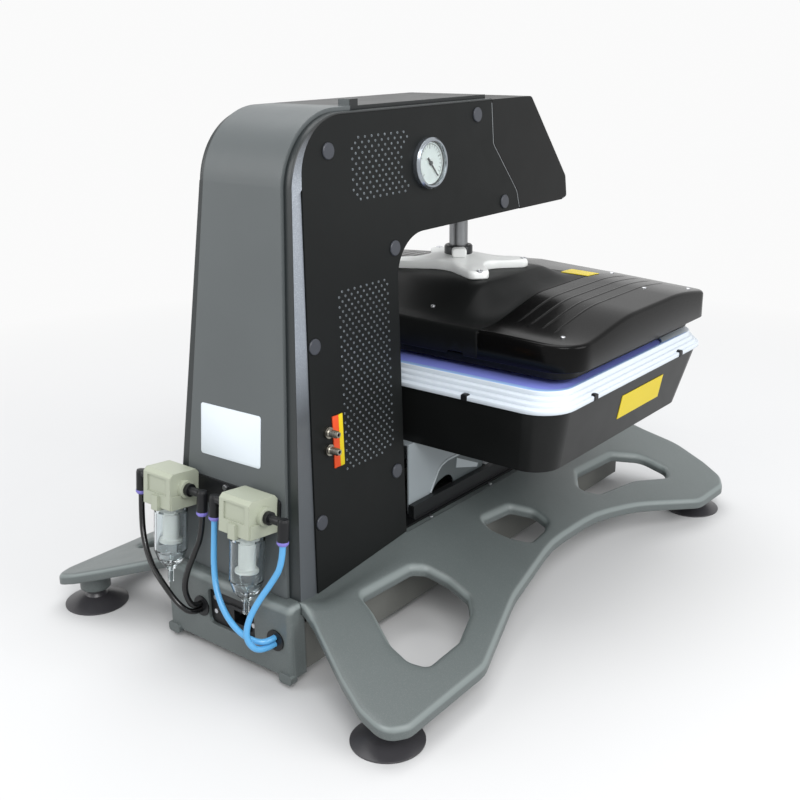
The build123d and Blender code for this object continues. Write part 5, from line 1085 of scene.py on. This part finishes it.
# ---- plain yellow plate on the cover, laid on its surface
def buildWarmPlate():
    shape = bmesh.new()
    corners = [(-104, -236), (-152, -235), (-152, -272), (-100, -277)]
    parts = 6
    layers = []
    for rise in (0.9, 0.1):
        rows = []
        for i in range(parts + 1):
            row = []
            for j in range(parts + 1):
                u, v = i / parts, j / parts
                x = sum(w * c[0] for w, c in zip(((1 - u) * (1 - v), u * (1 - v), u * v, (1 - u) * v), corners))
                y = sum(w * c[1] for w, c in zip(((1 - u) * (1 - v), u * (1 - v), u * v, (1 - u) * v), corners))
                row.append(shape.verts.new(at(x, y, crownHeight(x, y) + rise)))
            rows.append(row)
        layers.append(rows)
        for i in range(parts):
            for j in range(parts):
                shape.faces.new((rows[i][j], rows[i + 1][j], rows[i + 1][j + 1], rows[i][j + 1]))
    rims = []
    for rows in layers:
        rim = rows[0][:-1] + [row[-1] for row in rows[:-1]] + rows[-1][:0:-1] + [row[0] for row in rows[:0:-1]]
        rims.append(rim)
    bridge(shape, rims[0], rims[1])
    addPiece("warmPlate", shape, [yellowPlate], "press_head", ["cover_badge"])


buildWarmPlate()

# ---- gauge face: white dial with a black ring, plain ticks and a thin scale arc
gaugeFace = {"place": (-80.15, 77.5, 618.0), "ticks": 21, "first": 225.0, "sweep": 270.0}


def onGauge(radius, degrees, out):
    a, t = sideSheet["splay"], math.radians(degrees)
    u, v = radius * math.cos(t), radius * math.sin(t)
    x, y, z = gaugeFace["place"]
    return at(x + v * math.sin(a) - out * math.cos(a), y - u, z + v * math.cos(a) + out * math.sin(a))


def buildGaugeFace():
    shape = bmesh.new()
    turns = [7.5 * step for step in range(48)]
    profile = [(28.4, 1.0, 1), (28.4, 2.5, 1), (27.2, 2.5, 1), (26.9, 2.0, 0), (2.0, 2.0, 0), (2.0, 1.0, 0)]
    rings = [loopVerts(shape, [onGauge(radius, turn, out) for turn in turns]) for radius, out, _ in profile]
    for (low, high), (_, _, slot) in zip(zip(rings, rings[1:]), profile[1:]):
        bridge(shape, low, high, slot)
    bridge(shape, rings[-1], rings[0])
    for tick in range(gaugeFace["ticks"]):
        turn = gaugeFace["first"] - gaugeFace["sweep"] * tick / (gaugeFace["ticks"] - 1)
        inner, wide = (18.6, 1.5) if tick % 5 == 0 else (20.4, 0.8)
        corners = [(inner, -wide), (24.6, -wide * 0.75), (24.6, wide * 0.75), (inner, wide)]
        face = shape.faces.new(loopVerts(shape, [onGauge(r, turn + d, 2.03) for r, d in corners]))
        face.material_index = 1
        if tick:
            for part in range(3):
                ends = [turn + gaugeFace["sweep"] / 20 * (part + step) / 3 for step in (0, 1)]
                arc = [(24.6, ends[0]), (25.2, ends[0]), (25.2, ends[1]), (24.6, ends[1])]
                shape.faces.new(loopVerts(shape, [onGauge(r, d, 2.03) for r, d in arc])).material_index = 1
    addPiece("gaugeFace", shape, [dialWhite, blackPlastic], "machine", ["gauge_dial"])


buildGaugeFace()

# ---- the four air tubes
tubeRoutes = {
    "airTubeBlackOuter": {
        "node": "air_tube_black_outer", "paint": tubeBlack,
        "points": [(139, 424, 141), (113, 434, 113), (82, 439, 94), (58, 439, 76)],
        "mouth": 151.0, "port": (46.3, 61.7), "run": 16.0,
    },
    "airTubeBlackInner": {
        "node": "air_tube_black_inner", "paint": tubeBlack,
        "points": [(41, 421, 147), (51, 427, 120), (55, 430, 97), (51, 428, 79)],
        "mouth": 31.0, "port": (46.3, 70.3), "run": 12.0,
    },
    "airTubeBlueInner": {
        "node": "air_tube_blue_inner", "paint": tubeBlue,
        "points": [(3, 422, 142), (-8, 430, 113), (-30, 436, 88), (-58, 438, 73), (-80, 433, 67.5)],
        "mouth": 8.0, "port": (-89.5, 67.3), "run": 12.5,
    },
    "airTubeBlueOuter": {
        "node": "air_tube_blue_outer", "paint": tubeBlue,
        "points": [(-99, 421, 150), (-86, 432, 126), (-78, 443, 102), (-78, 449, 80), (-85, 443, 64)],
        "mouth": -112.0, "port": (-89.5, 58.7), "run": 17.0,
    },
}
filterWall = {"top": 248.0, "lean": math.atan(0.1047), "axis": 27.0, "colletEnd": 50.0, "exitRun": 26.0}
filterWall["y"] = 336.0 + (612.4 - filterWall["top"]) * 0.1047 + 5.0 / math.cos(filterWall["lean"])
portFace = 411.5
tubeAcross = 8.0


def onWall(x, down, out):
    lean = filterWall["lean"]
    y = filterWall["y"] + down * math.sin(lean) + out * math.cos(lean)
    z = filterWall["top"] - down * math.cos(lean) + out * math.sin(lean)
    return at(x, y, z)


def layTube(name, spec):
    start = onWall(spec["mouth"], filterWall["colletEnd"], filterWall["axis"])
    below = onWall(spec["mouth"], filterWall["colletEnd"] + filterWall["exitRun"], filterWall["axis"])
    portX, portZ = spec["port"]
    route = [start, below] + [at(*point) for point in spec["points"]]
    route += [at(portX, portFace + spec["run"], portZ), at(portX, portFace, portZ)]
    data = bpy.data.curves.new(name, "CURVE")
    data.dimensions = "3D"
    data.resolution_u = 12
    spline = data.splines.new("NURBS")
    spline.points.add(len(route) - 1)
    for point, place in zip(spline.points, route):
        point.co = (*place, 1)
    spline.order_u = 3
    spline.use_endpoint_u = True
    line = bpy.data.objects.new(name, data)
    scene.collection.objects.link(line)
    depsgraph = bpy.context.evaluated_depsgraph_get()
    trace = bpy.data.meshes.new_from_object(line.evaluated_get(depsgraph))
    data.bevel_depth = tubeAcross / 2 * mm
    data.bevel_resolution = 6
    data.use_fill_caps = True
    data.materials.append(spec["paint"])
    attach(line, "machine")
    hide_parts(spec["node"])


for name, spec in tubeRoutes.items():
    layTube(name, spec)

# ---- blank plates: the white one on the back cover and the two-coloured one by the barbs
plates = {"wide": 108.0, "tall": 67.0, "x": 10.0, "down": -56.0, "turn": math.radians(1.2), "round": 4.0}
hoseLabel = {"z": (256.0, 325.0), "thick": 1.5, "bands": [(272.0, 279.8, 2), (279.8, 291.0, 1)]}


def addPlate(shape, outline, place, thick, slot):
    shrink = [(0.0, 0.02), (0.0, thick - 0.15), (0.25, thick)]
    middle = sum(outline, Vector((0, 0))) / len(outline)
    rings = []
    for inset, out in shrink:
        spots = [point - (point - middle).normalized() * inset for point in outline]
        rings.append(loopVerts(shape, [place(point, out) for point in spots]))
    for low, high in zip(rings, rings[1:]):
        bridge(shape, low, high, slot)
    shape.faces.new(rings[-1]).material_index = slot
    shape.faces.new(list(reversed(rings[0]))).material_index = slot


def buildPlates():
    shape = bmesh.new()
    half, tall = plates["wide"] / 2, plates["tall"] / 2
    corners = [(-half, -tall), (half, -tall), (half, tall), (-half, tall)]
    outline = roundedOutline([(u, v, plates["round"]) for u, v in corners])
    turn = plates["turn"]

    def onBack(point, out):
        u, v = point
        across = u * math.cos(turn) - v * math.sin(turn)
        return onWall(plates["x"] + across, plates["down"] + u * math.sin(turn) + v * math.cos(turn), out)

    addPlate(shape, outline, onBack, 0.8, 0)
    low, high = hoseLabel["z"]
    for start, end, slot in hoseLabel["bands"]:
        outline = [Vector(spot) for spot in ((start, low), (end, low), (end, high), (start, high))]
        addPlate(shape, outline, lambda point, out: onSide(-1, point.x, point.y, out), hoseLabel["thick"], slot)
    addPiece("blankPlates", shape, [whitePlate, orangePlate, yellowPlate], "machine", ["blank_plates"])


buildPlates()
